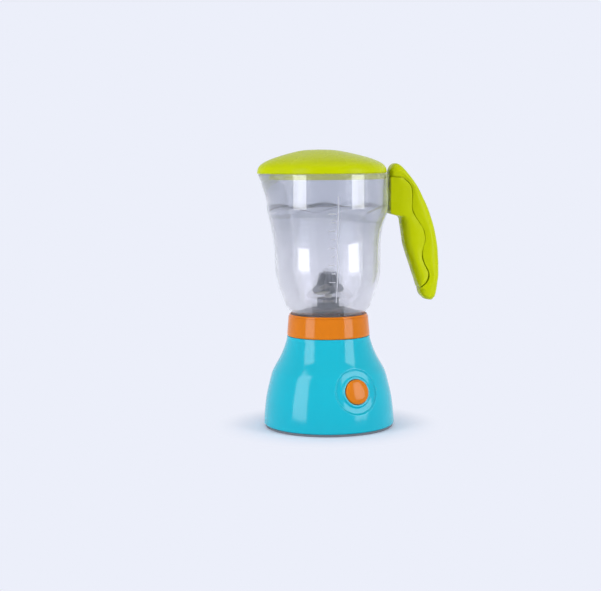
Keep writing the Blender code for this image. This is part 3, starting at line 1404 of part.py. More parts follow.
def collar():
    """The orange ring that the jug screws into: it seats over the base's plug, on a ledge."""
    plug_space = PLUG_R + CLEAR
    neck_space = JUG_NECK_R + CLEAR
    top = COLLAR_Z + COLLAR_HEIGHT
    profile = (
        (neck_space, top),
        (COLLAR_R - COLLAR_EDGE, top),
        (COLLAR_R, top - COLLAR_EDGE),
        (NECK_R, COLLAR_Z + COLLAR_EDGE),
        (NECK_R - COLLAR_EDGE / 2, COLLAR_Z),
        (plug_space, COLLAR_Z),
        (plug_space, LEDGE_Z),
        (LEDGE_R, LEDGE_Z),
        (LEDGE_R, LEDGE_Z + LEDGE_T),
        (neck_space, LEDGE_Z + LEDGE_T),
    )
    turned("jug_collar", profile, ORANGE, jug, steps=ROUND, ring=True)


def jug_floor(coupling_top):
    """The dark floor: a flange on the collar's ledge, a cone, and a hub over the coupling."""
    space_r = COUPLING_R + JOIN
    cone_top = FLOOR_TOP + FLOOR_CONE_RISE
    space_top = coupling_top + CLEAR
    bore_r = STIRRER_SHAFT_R + CLEAR
    profile = (
        (bore_r, HUB_TOP),
        (HUB_R - HUB_EDGE, HUB_TOP),
        (HUB_R, HUB_TOP - HUB_EDGE),
        (HUB_R, cone_top),
        (FLOOR_CONE_R, FLOOR_TOP + FLOOR_WALL),
        (FLOOR_CONE_R, FLOOR_TOP),
        (JUG_NECK_R, FLOOR_TOP),
        (JUG_NECK_R, FLOOR_Z),
        (FLOOR_CONE_R - FLOOR_WALL, FLOOR_Z),
        (space_r, cone_top - FLOOR_WALL),
        (space_r, space_top),
        (bore_r, space_top),
    )
    turned("jug_floor", profile, DARK, jug, steps=ROUND, ring=True)
    profile = (
        (STIRRER_BUSH_R, BUSH_Z + STIRRER_BUSH_HEIGHT),
        (STIRRER_BUSH_R, BUSH_Z),
        (bore_r, BUSH_Z),
        (bore_r, BUSH_Z + STIRRER_BUSH_HEIGHT),
    )
    turned("stirrer_bush", profile, WHITE, jug, ring=True)


def stirrer(shaft_foot):
    """A stirrer with four stepped fins and two low blades, on a thin shaft through the floor's hub."""
    top = STIRRER_Z + STIRRER_HEIGHT
    shaft_top = top - STIRRER_CAP - CLEAR
    rod("stirrer_shaft", STIRRER_SHAFT_R, shaft_foot, shaft_top, SILVER, jug)
    bore_r = STIRRER_SHAFT_R + CLEAR
    profile = (
        (0, top),
        (STIRRER_HUB_R / 2, top),
        (STIRRER_HUB_R, STIRRER_Z + STIRRER_HEIGHT / 2),
        (STIRRER_HUB_R, STIRRER_Z),
        (bore_r, STIRRER_Z),
        (bore_r, top - STIRRER_CAP),
        (0, top - STIRRER_CAP),
    )
    hub = turned("stirrer", profile, DARK, jug, turn=(0, 0, STIRRER_TURN))
    for n in range(FIN_COUNT):
        outline = [
            (bore_r + share_r * (FIN_REACH - bore_r), STIRRER_Z + share_z * STIRRER_HEIGHT)
            for share_r, share_z in FIN_SHARES
        ]
        turn = (QUARTER, 0, STIRRER_TURN + TURN * n / FIN_COUNT)
        join(hub, flat(f"fin_{n}", [outline], -FIN_T / 2, FIN_T / 2, None, jug, turn=turn))
    for side in (-1, 1):
        x = side * BLADE_REACH
        low_x, high_x = sorted((side * (bore_r + JOIN), x))
        low = (low_x, -BLADE_WIDTH / 2, STIRRER_Z + FIN_T / 2)
        high = (high_x, BLADE_WIDTH / 2, STIRRER_Z + FIN_T / 2 + BLADE_T)
        turn = (0, 0, STIRRER_TURN + TURN / FIN_COUNT / 2)
        join(hub, block(f"blade_{side}", low, high, None, jug, turn=turn))


def handle_point(share_x, share_z):
    return JUG_R + share_x * HANDLE_REACH, RIM_Z + HANDLE_RISE - (1 - share_z) * HANDLE_HEIGHT


def handle_screw_heights():
    return [handle_point(0, share)[1] for share in HANDLE_SCREW_SHARES]


def handle_sections():
    """Rounded sections (superellipses) down the handle, each from its outer curve to its inner one."""
    rings = []
    for outer_share, inner_share, width_share in HANDLE_SHARES:
        outer = Vector(handle_point(*outer_share))
        inner = Vector(handle_point(*inner_share))
        middle = (outer + inner) / 2
        half = (outer - inner) / 2
        ring = []
        for n in range(HANDLE_SECTION_POINTS):
            angle = TURN * n / HANDLE_SECTION_POINTS
            along = math.copysign(abs(math.cos(angle)) ** HANDLE_ROUNDING_SHARE, math.cos(angle))
            across = math.copysign(abs(math.sin(angle)) ** HANDLE_ROUNDING_SHARE, math.sin(angle))
            place = middle + half * along
            ring.append((place.x, across * width_share * HANDLE_WIDTH / 2, place.y))
        rings.append(ring)
    return rings


def handle():
    """The hooked handle in two halves along a wavy line: the inner is screwed on, the outer covers it."""
    sections = handle_sections()
    parting = [handle_point(*shares) for shares in PARTING_SHARES]
    upright = (QUARTER, 0, 0)
    jug_space = rod("jug_space", JUG_R + CLEAR, 0, RIM_Z + JUG_BAND_HEIGHT, None, jug, steps=ROUND)
    inner_side = flat("inner_side", [parting], -HANDLE_WIDTH, HANDLE_WIDTH, None, jug, turn=upright)
    cover_side = flat(
        "cover_side", [grown(parting, CLEAR)], -HANDLE_WIDTH, HANDLE_WIDTH, None, jug, turn=upright
    )
    halves = []
    for name in ("handle_inner", "handle_outer"):
        piece = loft(name, sections, LIME, jug)
        cut(piece, jug_space)
        halves.append(piece)
    inner, cover = halves
    keep(inner, inner_side)
    cut(cover, cover_side)
    sideways = (0, QUARTER, 0)
    pocket_at = JUG_R + HANDLE_POCKET_AT
    pocket_end = JUG_R + HANDLE_REACH
    for n, height in enumerate(handle_screw_heights()):
        where = (0, 0, height)
        boss_end = JUG_R + HANDLE_BOSS_RISE + CLEAR
        seat = rod(f"boss_seat_{n}", HANDLE_BOSS_R + CLEAR, 0, boss_end, None, jug, at=where, turn=sideways)
        hole = rod(f"handle_hole_{n}", SCREW_R + CLEAR, 0, pocket_end, None, jug, at=where, turn=sideways)
        pocket = rod(
            f"handle_pocket_{n}", HANDLE_POCKET_R, pocket_at, pocket_end, None, jug, at=where, turn=sideways
        )
        cut(inner, seat, hole, pocket)
        where = (pocket_at + CLEAR + SCREW_HEAD_T, 0, height)
        screw_piece(f"handle_screw_{n + 1}", HANDLE_SCREW_LENGTH, jug, at=where, turn=sideways)


def lid():
    """The domed lid: its edge follows the jug's rim and spout, and a round skirt drops inside the jug."""
    angles = [TURN * n / ROUND for n in range(ROUND)]

    def ring(share, height):
        """A ring at a share of the lid's own outline, drawn in towards the dome's top."""
        points = []
        for angle in angles:
            reach = LID_REACH + LID_SPOUT_REACH * spout(angle, 1)
            x = share * reach * math.cos(angle) + (1 - share) * LID_APEX_X
            points.append((x, share * reach * math.sin(angle), height))
        return points

    def round_ring(radius, height):
        return [(radius * math.cos(angle), radius * math.sin(angle), height) for angle in angles]

    outside = [ring(share, LID_Z + height * LID_HEIGHT) for share, height in LID_SHARES]
    skirt_r = JUG_R - JUG_WALL - SKIRT_SPACE
    skirt_in_r = skirt_r - SKIRT_WALL
    skirt = [
        round_ring(skirt_r, LID_Z),
        round_ring(skirt_r, LID_Z - SKIRT_DEPTH),
        round_ring(skirt_in_r, LID_Z - SKIRT_DEPTH),
        round_ring(skirt_in_r, LID_Z),
    ]
    inside = []
    for share, height in LID_SHARES[-3::-1]:
        top = LID_Z + height * (LID_HEIGHT - LID_WALL)
        inside.append(ring(share * skirt_in_r / LID_REACH, top))
    loft("lid", outside + skirt + inside, LIME)


housing()
base_bottom()
cells()
button()
gearbox()
motor()
electronics()
wires()
shaft_foot = couplings()
jug_piece()
collar()
jug_floor(DRIVEN_Z + DRIVEN_T)
stirrer(shaft_foot)
handle()
lid()
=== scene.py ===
"""The looks of a toy blender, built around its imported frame.

The jug, lid, handle, collar, base and stirrer are smooth surfaces worked out here, and every solid that stays gets
the finish of its real material. Lengths are metres unless a name ends in _mm, heights come from the frame.
"""

import json
import math

import bmesh
import bpy
import numpy as np
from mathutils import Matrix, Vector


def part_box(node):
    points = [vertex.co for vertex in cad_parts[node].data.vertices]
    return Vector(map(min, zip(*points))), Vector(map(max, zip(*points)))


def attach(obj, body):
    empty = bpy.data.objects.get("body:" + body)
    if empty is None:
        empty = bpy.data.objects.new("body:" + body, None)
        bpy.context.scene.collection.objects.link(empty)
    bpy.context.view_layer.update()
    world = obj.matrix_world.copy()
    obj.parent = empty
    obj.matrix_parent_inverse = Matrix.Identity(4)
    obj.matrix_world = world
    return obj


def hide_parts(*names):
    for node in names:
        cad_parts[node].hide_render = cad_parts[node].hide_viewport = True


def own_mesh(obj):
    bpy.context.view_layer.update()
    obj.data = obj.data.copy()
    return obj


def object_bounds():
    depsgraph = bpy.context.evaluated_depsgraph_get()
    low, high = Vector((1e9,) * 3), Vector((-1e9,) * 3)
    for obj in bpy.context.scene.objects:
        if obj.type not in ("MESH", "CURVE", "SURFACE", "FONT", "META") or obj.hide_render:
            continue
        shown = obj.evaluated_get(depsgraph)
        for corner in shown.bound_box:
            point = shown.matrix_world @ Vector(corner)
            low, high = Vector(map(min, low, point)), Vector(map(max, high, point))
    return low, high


bl_info = {
    "name": "Toy Blender Looks",
    "version": (1, 0, 0),
    "blender": (4, 5, 0),
    "location": "3D View > Sidebar > Toy Blender",
    "description": "Builds the smooth shells, the clear jug and the finishes of a toy blender around its solids",
    "category": "Add Mesh",
}

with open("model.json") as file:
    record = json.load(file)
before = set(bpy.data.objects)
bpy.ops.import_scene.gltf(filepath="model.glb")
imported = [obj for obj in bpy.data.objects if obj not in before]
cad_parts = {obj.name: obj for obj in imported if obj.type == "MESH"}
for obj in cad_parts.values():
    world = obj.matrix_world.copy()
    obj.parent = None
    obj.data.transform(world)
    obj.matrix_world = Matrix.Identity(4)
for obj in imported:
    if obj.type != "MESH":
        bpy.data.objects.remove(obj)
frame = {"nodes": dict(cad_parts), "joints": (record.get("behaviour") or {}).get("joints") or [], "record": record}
cad_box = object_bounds()

MM = 0.001
TURN = 2 * math.pi
QUARTER = TURN / 4
UP = np.array((0, 0, 1))
# Faces that meet at more than this angle keep a sharp edge, and points closer than this are welded
CREASE = math.radians(38)
WELD = 0.002 * MM
# Between pieces that run or rest in each other
GAP = 0.3 * MM

# Heights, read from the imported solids
PLUG_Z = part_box("base_housing")[1][2]
COLLAR_LOW, COLLAR_HIGH = (corner[2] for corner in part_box("jug_collar"))
FLOOR_Z, HUB_TOP = (corner[2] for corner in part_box("jug_floor"))
JUG_Z, RIM_Z = (corner[2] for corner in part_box("jug_body"))
SKIRT_Z, LID_TOP = (corner[2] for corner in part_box("lid"))
STIRRER_Z, STIRRER_TOP = (corner[2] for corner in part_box("stirrer"))
LID_Z = RIM_Z + GAP
SHOULDER_Z = COLLAR_LOW - GAP

# The push button's own axes: across, up the wall, and out of it. The base is turned so that it faces this way
PRESS = next(joint for joint in frame["joints"] if joint["name"] == "button_press")
BUTTON_AT = np.array(PRESS["pos_m"])
BUTTON_OUT = -np.array(PRESS["axis"])
BASE_TURN = math.atan2(BUTTON_AT[1], BUTTON_AT[0]) + QUARTER
BASE_BACK = np.array((-math.sin(BASE_TURN), math.cos(BASE_TURN), 0))
BUTTON_ACROSS = np.array((math.cos(BASE_TURN), math.sin(BASE_TURN), 0))
BUTTON_UP = np.cross(BUTTON_OUT, BUTTON_ACROSS)
BUTTON_STEM_R, BUTTON_STEM_DEPTH = 3.0 * MM, 2.7 * MM
SPRING_TURNS = 3

# Base: outer radius and height down the flare, in mm
FLARE_MM = (
    (35.1, 77.3), (35.3, 75.0), (36.4, 71.0), (38.4, 65.2), (41.3, 58.8), (45.0, 52.3), (47.5, 47.6),
    (49.1, 43.0), (50.4, 38.0), (52.1, 31.0), (53.5, 24.0), (54.6, 15.0), (55.2, 8.5), (55.4, 4.2),
)
# Base: radius, height and fillet round its foot, in mm
FOOT_CORNERS_MM = ((55.4, 3.0, 0.9), (54.4, 1.9, 0.5), (53.3, 1.9, 0))
# The turn between the housing's columns, and the window with finer ones that is left open for the dish
COLUMN_STEP = math.radians(2.5)
WINDOW_HALF = math.radians(27)
WINDOW_STEP = math.radians(0.9)
WINDOW_LOW_Z = BUTTON_AT[2] - 22 * MM
WINDOW_HIGH_Z = BUTTON_AT[2] + 22.5 * MM
# Sound slots: heights as shares of the speaker's, and where the cut starts and ends along the way back
SLOT_SHARES = (0.5, 0.75, 0.8, 0.75, 0.5)
SLOT_CUT = (40 * MM, 62 * MM)
# The lamp's hole is cut through the deck between these heights
LAMP_CUT = (PLUG_Z - 6 * MM, PLUG_Z + 4 * MM)

# Jug: outer radius and height, in mm. It is the same all round low down and high up, and has its own curve between
# them on the spout's side and on the handle's side
JUG_LOW_MM = (
    (31.4, 94.3), (31.4, 97.0), (33.5, 99.5), (36.4, 104.0), (38.9, 111.0), (41.5, 118.0), (43.3, 125.0),
)
JUG_HIGH_MM = ((51.3, 188.0), (51.3, 200.0), (51.3, 214.0))
SPOUT_SIDE_MM = (
    *JUG_LOW_MM, (44.4, 132.0), (44.9, 140.0), (45.3, 150.0), (46.0, 158.0), (47.0, 165.0), (48.3, 172.0),
    (49.9, 179.0), (51.1, 184.5), *JUG_HIGH_MM,
)
HANDLE_SIDE_MM = (
    *JUG_LOW_MM, (44.3, 132.0), (44.5, 140.0), (44.5, 150.0), (44.7, 158.0), (45.6, 165.0), (47.4, 172.0),
    (49.7, 178.5), (51.0, 184.5), *JUG_HIGH_MM,
)
# The rim's rounding, the wall's foot, and how far down from the rim the wall has its full tint. Below that its colour
# is painted paler, as painted light for the light coming through
JUG_LIP, JUG_FOOT_Z, SHOULDER_BAND = 0.6 * MM, JUG_Z + 0.5 * MM, 24 * MM
# The scalloped line: its lowest height, and where its arches meet, in degrees round the jug from the handle. Below it
# the wall steps in over one height, and from a lower place down the step fades out over another
ARCH_Z = 183.0 * MM
ARCH_CUSPS = (0, 58.7, 110.7, 180, 249.3, 301.3, 360)
STEP_EDGE, STEP_FADE, STEP_END_Z = 1.2 * MM, 30 * MM, JUG_Z + 14 * MM
# The scale: the wall's radius there, how deep its ribs sink in, its line's ends, and its ticks
SCALE_R, RIB_SINK = 46 * MM, 0.05 * MM
SCALE_LOW, SCALE_HIGH = 108 * MM, 196 * MM
TICKS, TICK_LOW, TICK_STEP, TICK_GAP = 9, 126 * MM, 7 * MM, 1.4 * MM
TICK_LENGTHS = (6 * MM, 3.6 * MM)
# The bosses under the handle: radius, bore, and the distances from the axis at which they start and end
BOSS_R, BOSS_BORE, BOSS_FROM, BOSS_TO = 3.6 * MM, 1.6 * MM, 50.6 * MM, 54.9 * MM

# Collar: radii of its bore, of its seat on the plug and of the hole in its ledge, and the ledge's height
COLLAR_BORE, COLLAR_SEAT, LEDGE_BORE, LEDGE_WALL = 31.7 * MM, 30.8 * MM, 27 * MM, 1.2 * MM
# Jug floor: the bore for the stirrer's shaft, the top of its hollow, and radius, height over its underside and fillet
# down its outer side and back along its underside, in mm
SHAFT_BORE = 1.8 * MM
FLOOR_HOLLOW_Z = 101.2 * MM
FLOOR_SIDE_MM = (
    (9.2, 8.7, 1.2), (19.0, 7.5, 4.0), (28.0, 4.6, 1.0), (28.9, 2.7, 0.3), (28.9, 1.2, 0.2), (31.4, 1.2, 0.2),
    (31.4, 0.0, 0.2), (27.4, 0.0, 0.4), (7.7, 7.2, 0.4),
)

# Lid: shares of its half width and of its height, down the dome
LID_SHARES = (
    (0.0, 1.0), (0.16, 0.988), (0.307, 0.945), (0.512, 0.82), (0.685, 0.69), (0.819, 0.56),
    (0.913, 0.43), (0.965, 0.31), (0.99, 0.18), (1.0, 0.03),
)
# How far the skirt laps into the dome, how far over the rim the dome's inner side ends, and the edge's height
LID_LAP, LID_INNER_LOW, LID_LIP = 0.5 * MM, 1.5 * MM, 0.6 * MM

# Handle, seen from the front: x and height of the outer edge, the parting line and the inner edge, in mm
COVER_EDGE_MM = (
    (52.4, 216.0), (54.5, 220.0), (58.1, 221.9), (62.8, 219.6), (68.5, 212.9), (74.8, 204.4),
    (78.8, 197.8), (82.9, 190.0), (85.8, 183.5), (88.0, 177.3), (90.2, 170.4), (91.9, 163.6),
    (93.1, 157.0), (94.1, 150.5), (94.5, 144.2), (94.9, 137.0), (94.9, 131.0), (94.7, 125.6),
    (94.1, 120.6), (93.4, 115.6), (92.7, 111.6), (91.5, 108.0), (89.4, 105.4),
)
PARTING_MM = (
    (52.4, 210.4), (55.0, 210.5), (58.3, 210.5), (61.9, 210.1), (66.4, 207.4), (70.0, 202.8),
    (71.5, 197.4), (71.1, 190.5), (71.3, 183.9), (73.8, 177.3), (78.0, 170.7), (81.5, 164.2),
    (82.3, 157.4), (80.7, 150.6), (80.0, 143.6), (81.9, 136.8), (84.8, 131.2), (85.9, 126.2),
    (84.0, 121.0), (80.7, 118.0), (78.2, 115.6), (79.2, 110.8), (83.0, 106.4),
)
GRIP_EDGE_MM = (
    (52.2, 210.35), (52.2, 204.0), (52.2, 198.0), (52.2, 190.0), (52.2, 183.0), (52.4, 180.2),
    (54.3, 179.0), (60.2, 177.4), (61.9, 176.0), (62.5, 172.0), (63.5, 166.0), (64.3, 160.0),
    (65.2, 154.0), (66.9, 148.0), (69.0, 141.4), (71.3, 134.6), (73.6, 127.6), (75.9, 121.4),
    (77.7, 116.8),
)
GRIP_PARTING_MM = (
    (62.7, 209.95), (68.5, 204.6), (71.0, 198.0), (70.8, 190.4), (70.9, 184.2), (71.3, 181.6),
    (72.1, 179.4), (73.3, 177.4), (74.2, 175.8), (76.8, 172.0), (80.3, 166.2), (81.9, 160.0),
    (81.4, 154.0), (79.9, 148.0), (79.5, 142.0), (81.5, 136.2), (84.9, 128.6), (83.2, 121.6),
    (78.7, 117.2),
)
# Below this height the outer half's tip is bare. Above the grip's seat its edge is nearly sharp
TIP_BARE_Z, TIP_FADE = 118 * MM, 4 * MM
GRIP_SEAT_Z, SEAT_FADE, SEAT_EDGE = 180 * MM, 6 * MM, 0.8 * MM

# Stirrer fin: shares of its reach and of its height
FIN_SHARES = (
    (0.1, 0.06), (0.86, 0.06), (1.0, 0.2), (0.8, 0.42), (0.7, 0.46), (0.63, 0.72), (0.58, 0.76),
    (0.56, 0.95), (0.46, 1.0), (0.1, 0.9),
)
# Stirrer: rings in a plate's rounded edge, wall over the shaft, rounding of fins and blades, and a blade's root, its
# cut corner and its height
PLATE_RINGS = 8
HUB_ROOF, PLATE_EDGE, BLADE_ROOT, BLADE_CORNER, BLADE_LIFT = 2 * MM, 0.35 * MM, 2 * MM, 3 * MM, 0.8 * MM

# Cells: radius, the end that it is measured from (1 is the nub's), distance in from that end, and fillet, in mm. None
# is the cell's own radius
CELL_FILM_MM = (
    (9, 1, 2.2, 0), (11.6, 1, 2.2, 0.3), (11.9, 1, 1.8, 0.2), (None, 1, 2.0, 0.6), (None, -1, 0, 0.8),
    (11.9, -1, 0, 0.2), (11.7, -1, 0.5, 0.2), (9, -1, 0.5, 0),
)
CELL_NUB_MM = ((0, 1, 0, 0), (3.3, 1, 0, 0.6), (3.6, 1, 1.9, 0.4), (9.2, 1, 2.1, 0), (9.2, 1, 2.6, 0), (0, 1, 2.6, 0))
CELL_CAP_MM = ((0, -1, 1.2, 0), (9.2, -1, 1.2, 0), (9.2, -1, 0.2, 0.5), (0, -1, 0.2, 0))

# Stage: the tall softboxes by name, degrees from the front and width, their height, distance and middle's height, and
# the one overhead by place, tilt, width and depth
SOFTBOXES = (("softbox_left", -62, 0.38), ("softbox_right", 48, 0.36))
SOFTBOX_TALL, SOFTBOX_AWAY, SOFTBOX_Z = 0.9, 0.8, 0.3
OVERHEAD_AT, OVERHEAD_TILT, OVERHEAD_SIZE = (0, -0.15, 0.95), math.radians(-8), (0.7, 0.5)
FLOOR_RADII, FLOOR_DROP = (0.0, 0.3, 1.0, 3.0), 0.2 * MM
# Shares of the object's reach between which the floor turns into the backdrop's colour, and the depths of the way to
# the sky between which the even light grows
FADE_SHARES, GROW_DEPTHS = (0.5, 1.05), (-0.1, 0.8)
SENSOR_MM = 36
# Every finish: the size of its colour's drift in mm, and the noise's range over which its gloss changes
DRIFT_MM, SMUDGE_RANGE = 45, (0.3, 0.75)


def linear(code):
    """An sRGB hex colour as linear red, green and blue."""
    parts = [int(code[n : n + 2], 16) / 255 for n in (0, 2, 4)]
    return tuple(part / 12.92 if part <= 0.04045 else ((part + 0.055) / 1.055) ** 2.4 for part in parts)


def length(name, text, mm):
    return bpy.props.FloatProperty(name=name, description=text, default=mm * MM, min=0, unit="LENGTH", precision=5)


def angle(name, text, degrees):
    turn = math.radians(degrees)
    return bpy.props.FloatProperty(name=name, description=text, default=turn, subtype="ANGLE", unit="ROTATION")


def amount(name, text, value):
    return bpy.props.FloatProperty(name=name, description=text, default=value, min=0)


def colour(name, text, code):
    return bpy.props.FloatVectorProperty(
        name=name, description=text, default=linear(code), subtype="COLOR", size=3, min=0, max=1
    )


class BaseSizes(bpy.types.PropertyGroup):
    wall: length("Wall", "Thickness of the housing", 2.2)
    plug_radius: length("Plug radius", "Radius of the round plug that carries the jug", 30.5)
    plug_edge: length("Plug edge", "Rounding of the plug's top edge", 1.3)
    shaft_hole: length("Shaft hole", "Radius of the hole in the deck", 5.0)
    dish_radius: length("Dish radius", "Radius of the dished place round the button", 18.5)
    dish_depth: length("Dish depth", "Depth of the dish at the button's axis", 3.0)
    dish_edge: length("Dish edge", "Width of the dish's rounded edge", 1.1)
    dish_least: length("Least depth", "Depth of the dish where the wall falls away at its sides", 1.3)
    ring_radius: length("Ring radius", "Outer radius of the raised ring", 12.6)
    ring_rise: length("Ring rise", "Height of the ring over the dish", 1.4)
    hole_radius: length("Button hole", "Radius of the hole for the button", 10.6)
    button_radius: length("Button radius", "Radius of the button", 10.3)
    button_rise: length("Button rise", "How far the button stands out of the wall", 1.5)
    button_dome: length("Button dome", "Height of the button's crown", 2.6)
    button_flange: length("Button flange", "Radius of the flange that keeps the button in", 12.4)
    flange_wall: length("Flange wall", "Thickness of the button's flange", 1.2)
    spring_gap: length("Spring gap", "From the flange to the bracket behind the spring", 5.7)
    spring_radius: length("Spring radius", "Radius of the spring's coil", 4.6)
    spring_wire: length("Spring wire", "Radius of the spring's wire", 0.3)
    lamp_radius: length("Lamp radius", "Radius of the lamp's lens", 2.5)
    slot_pitch: length("Slot pitch", "Distance between the sound slots", 4.2)
    slot_width: length("Slot width", "Width of a sound slot", 1.8)


class JugSizes(bpy.types.PropertyGroup):
    wall: length("Wall", "Thickness of the clear wall", 2.0)
    spout_reach: length("Spout reach", "How far the spout stands out at the rim", 7.5)
    spout_height: length("Spout height", "Height of the spout", 23.0)
    spout_spread: angle("Spout spread", "Half the spout's width round the rim", 42)
    arch_rise: length("Arch rise", "Height of the scalloped arches along the shoulder", 5.0)
    arch_step: length("Arch step", "Depth of the step inside the shoulder", 1.0)
    bead_height: length("Bead height", "Height of the thick bead along the arches at the back", 4.0)
    bead_depth: length("Bead depth", "How far the bead stands into the jug", 0.9)
    bead_front: amount("Bead front", "Share of the bead that is left at the front", 0.12)
    rib_width: length("Rib width", "Width of the scale's ribs", 0.75)
    rib_rise: length("Rib rise", "How far the scale stands out", 0.3)
    collar_radius: length("Collar radius", "Outer radius at the collar's top", 33.8)
    collar_lip: length("Collar lip", "Height of the narrower lip at the collar's top", 1.8)
    collar_step: length("Collar step", "How far the lip is set in", 0.7)


class LidSizes(bpy.types.PropertyGroup):
    reach: length("Reach", "Half width of the lid", 50.0)
    spout_reach: length("Spout reach", "How far the lid reaches over the spout", 9.3)
    apex: length("Apex", "Distance of the dome's top from the middle, towards the spout", 8.0)
    wall: length("Wall", "Thickness of the dome", 2.0)
    skirt_radius: length("Skirt radius", "Outer radius of the skirt inside the jug", 48.9)
    skirt_wall: length("Skirt wall", "Thickness of the skirt", 1.8)
    skirt_short: length("Skirt short", "How far the skirt's edge stays above its solid's", 1.8)


class HandleSizes(bpy.types.PropertyGroup):
    width: length("Width", "Thickness of the handle from side to side", 20.0)
    edge: length("Edge", "Rounding of the outer and inner edges", 6.0)
    groove: length("Groove", "Rounding of both halves along the parting line", 0.35)
    crown: length("Crown", "How much the sides swell towards the parting line", 0.7)
    tongue_width: length("Tongue width", "Width of the tongue between the halves, from side to side", 10.0)
    tongue_depth: length("Tongue depth", "How deep the tongue sits in each half", 1.3)


class StirrerSizes(bpy.types.PropertyGroup):
    hub_radius: length("Hub radius", "Radius of the stirrer's hub", 4.2)
    fin_reach: length("Fin reach", "Reach of a fin from the axis", 15.0)
    fin_thickness: length("Fin thickness", "Thickness of a fin", 1.6)
    blade_reach: length("Blade reach", "Reach of a blade from the axis", 23.0)
    blade_width: length("Blade width", "Width of a blade", 7.0)
    blade_thickness: length("Blade thickness", "Thickness of a blade", 1.4)
    turn: angle("Turn", "Turn of the fins at rest", 16)


class Colours(bpy.types.PropertyGroup):
    turquoise: colour("Turquoise", "Base housing", "00B0C4")
    lime: colour("Lime", "Lid and handle", "B8C300")
    orange: colour("Orange", "Collar and button", "D27400")
    charcoal: colour("Charcoal", "Base plate, jug floor and stirrer", "74787F")
    clear: colour("Clear", "Tint of the jug at its shoulder", "CDD0D9")
    # The paler tint low down is painted light, standing in for the light that comes through the jug near the collar
    clear_low_painted_light: colour("Clear, low down", "Tint of the jug where its wall is thinnest, at the collar", "F4F3F7")
    natural: colour("Natural", "Uncoloured gears, bushes and couplings", "E4E2DA")
    black: colour("Black", "Switch, chip and cable insulation", "222224")
    steel: colour("Steel", "Zinc-plated screws and contacts", "C6C8CC")


class StageSettings(bpy.types.PropertyGroup):
    distance: length("Distance", "From the axis to the camera", 1163.0)
    height: length("Height", "Camera's height over the floor", 233.0)
    azimuth: angle("Azimuth", "Camera's place round the object, from the front", -10)
    tilt: angle("Tilt", "How far the camera looks down", 5.99)
    roll: angle("Roll", "How far the camera leans to the right", 0.5)
    aim: angle("Aim", "How far the camera looks to the left of the axis", 1.10)
    lens_mm: amount("Lens", "Focal length in mm on a 36 mm sensor", 82.6)
    backdrop: colour("Backdrop", "Background and floor", "ECEFFA")
    fill: amount("Fill", "Strength of the even light from the front", 0.37)
    back_fill: amount("Back fill", "Strength of the even light from behind", 0.85)
    softbox: amount("Softbox", "Radiance of the two tall softboxes", 5.2)
    overhead: amount("Overhead", "Radiance of the softbox overhead", 1.1)


def settings(name):
    return getattr(bpy.context.scene, "toy_blender_" + name)


def through(knots, count):
    """A smooth curve through the knots: each stretch is a cubic in its share of the way (Catmull-Rom), whose slope at
    a knot is half the span between that knot's neighbours."""
    knots = np.asarray(knots, float)
    padded = np.vstack([2 * knots[0] - knots[1], knots, 2 * knots[-1] - knots[-2]])
    place = np.linspace(0, len(knots) - 1, count)
    k = np.minimum(place.astype(int), len(knots) - 2)
    t = (place - k)[:, None]
    a, b, c, d = (padded[k + n] for n in range(4))
    return (2 * b + (c - a) * t + (2 * a - 5 * b + 4 * c - d) * t**2 + (3 * b - a - 3 * c + d) * t**3) / 2


def filleted(corners, steps=7):
    """A path through corners, each an x, a y and a fillet in mm. A fillet is an arc that touches both sides: its
    centre lies on the corner's bisector, at the fillet over the sine of half the corner's angle."""
    places = np.array([corner[:2] for corner in corners])
    path = []
    for n, here in enumerate(places):
        fillet = corners[n][2] * MM
        if fillet == 0 or n in (0, len(corners) - 1):
            path.append(here[None])
            continue
        back, ahead = places[n - 1] - here, places[n + 1] - here
        back, ahead = back / np.hypot(*back), ahead / np.hypot(*ahead)
        half = math.acos(np.clip(back @ ahead, -1, 1)) / 2
        centre = here + (back + ahead) / np.hypot(*(back + ahead)) * fillet / math.sin(half)
        reach = fillet / math.tan(half)
        start, end = here + back * reach - centre, here + ahead * reach - centre
        sweep = math.pi - 2 * half
        t = np.linspace(0, 1, steps)[:, None]
        path.append(centre + (start * np.sin((1 - t) * sweep) + end * np.sin(t * sweep)) / math.sin(sweep))
    return np.vstack(path)


def ring_angles(steps):
    return np.linspace(0, TURN, steps, endpoint=False)


def polar(radius, angles, height):
    """Points at a radius and an angle about Z, and at a height: three numbers, rows, columns or grids."""
    return np.stack(np.broadcast_arrays(radius * np.cos(angles), radius * np.sin(angles), height), axis=-1)


def turned(profile, angles):
    """A grid of points: each (radius, height) of the profile, at each angle about Z."""
    return polar(profile[:, :1], angles, profile[:, 1:])


def capped(points):
    """A grid of points with a row more at each end, drawn together at the middle of its first or last row."""
    first, last = (points[[n]].mean(axis=1, keepdims=True) + 0 * points[:1] for n in (0, -1))
    return np.concatenate([first, points, last])


def grid_faces(index, loop_rows=False, skip=()):
    """Quads between the neighbouring rows and columns of a grid of point numbers, less the blocks to skip. The last
    column joins the first, and the last row may join the first too."""
    rows, columns = index.shape
    kept = np.ones((rows - (not loop_rows), columns), bool)
    for (row_0, row_1), (column_0, column_1) in skip:
        kept[row_0:row_1, column_0:column_1] = False
    index = np.hstack([index, index[:, :1]])
    if loop_rows:
        index = np.vstack([index, index[:1]])
    quads = np.stack([index[:-1, :-1], index[1:, :-1], index[1:, 1:], index[:-1, 1:]], axis=-1)
    return quads[kept]


def numbered(points):
    """The number of each point of a grid."""
    return np.arange(points.shape[0] * points.shape[1]).reshape(points.shape[:2])


def skin(points, **how):
    """The points and faces of a grid of points."""
    return points.reshape(-1, 3), grid_faces(numbered(points), **how)


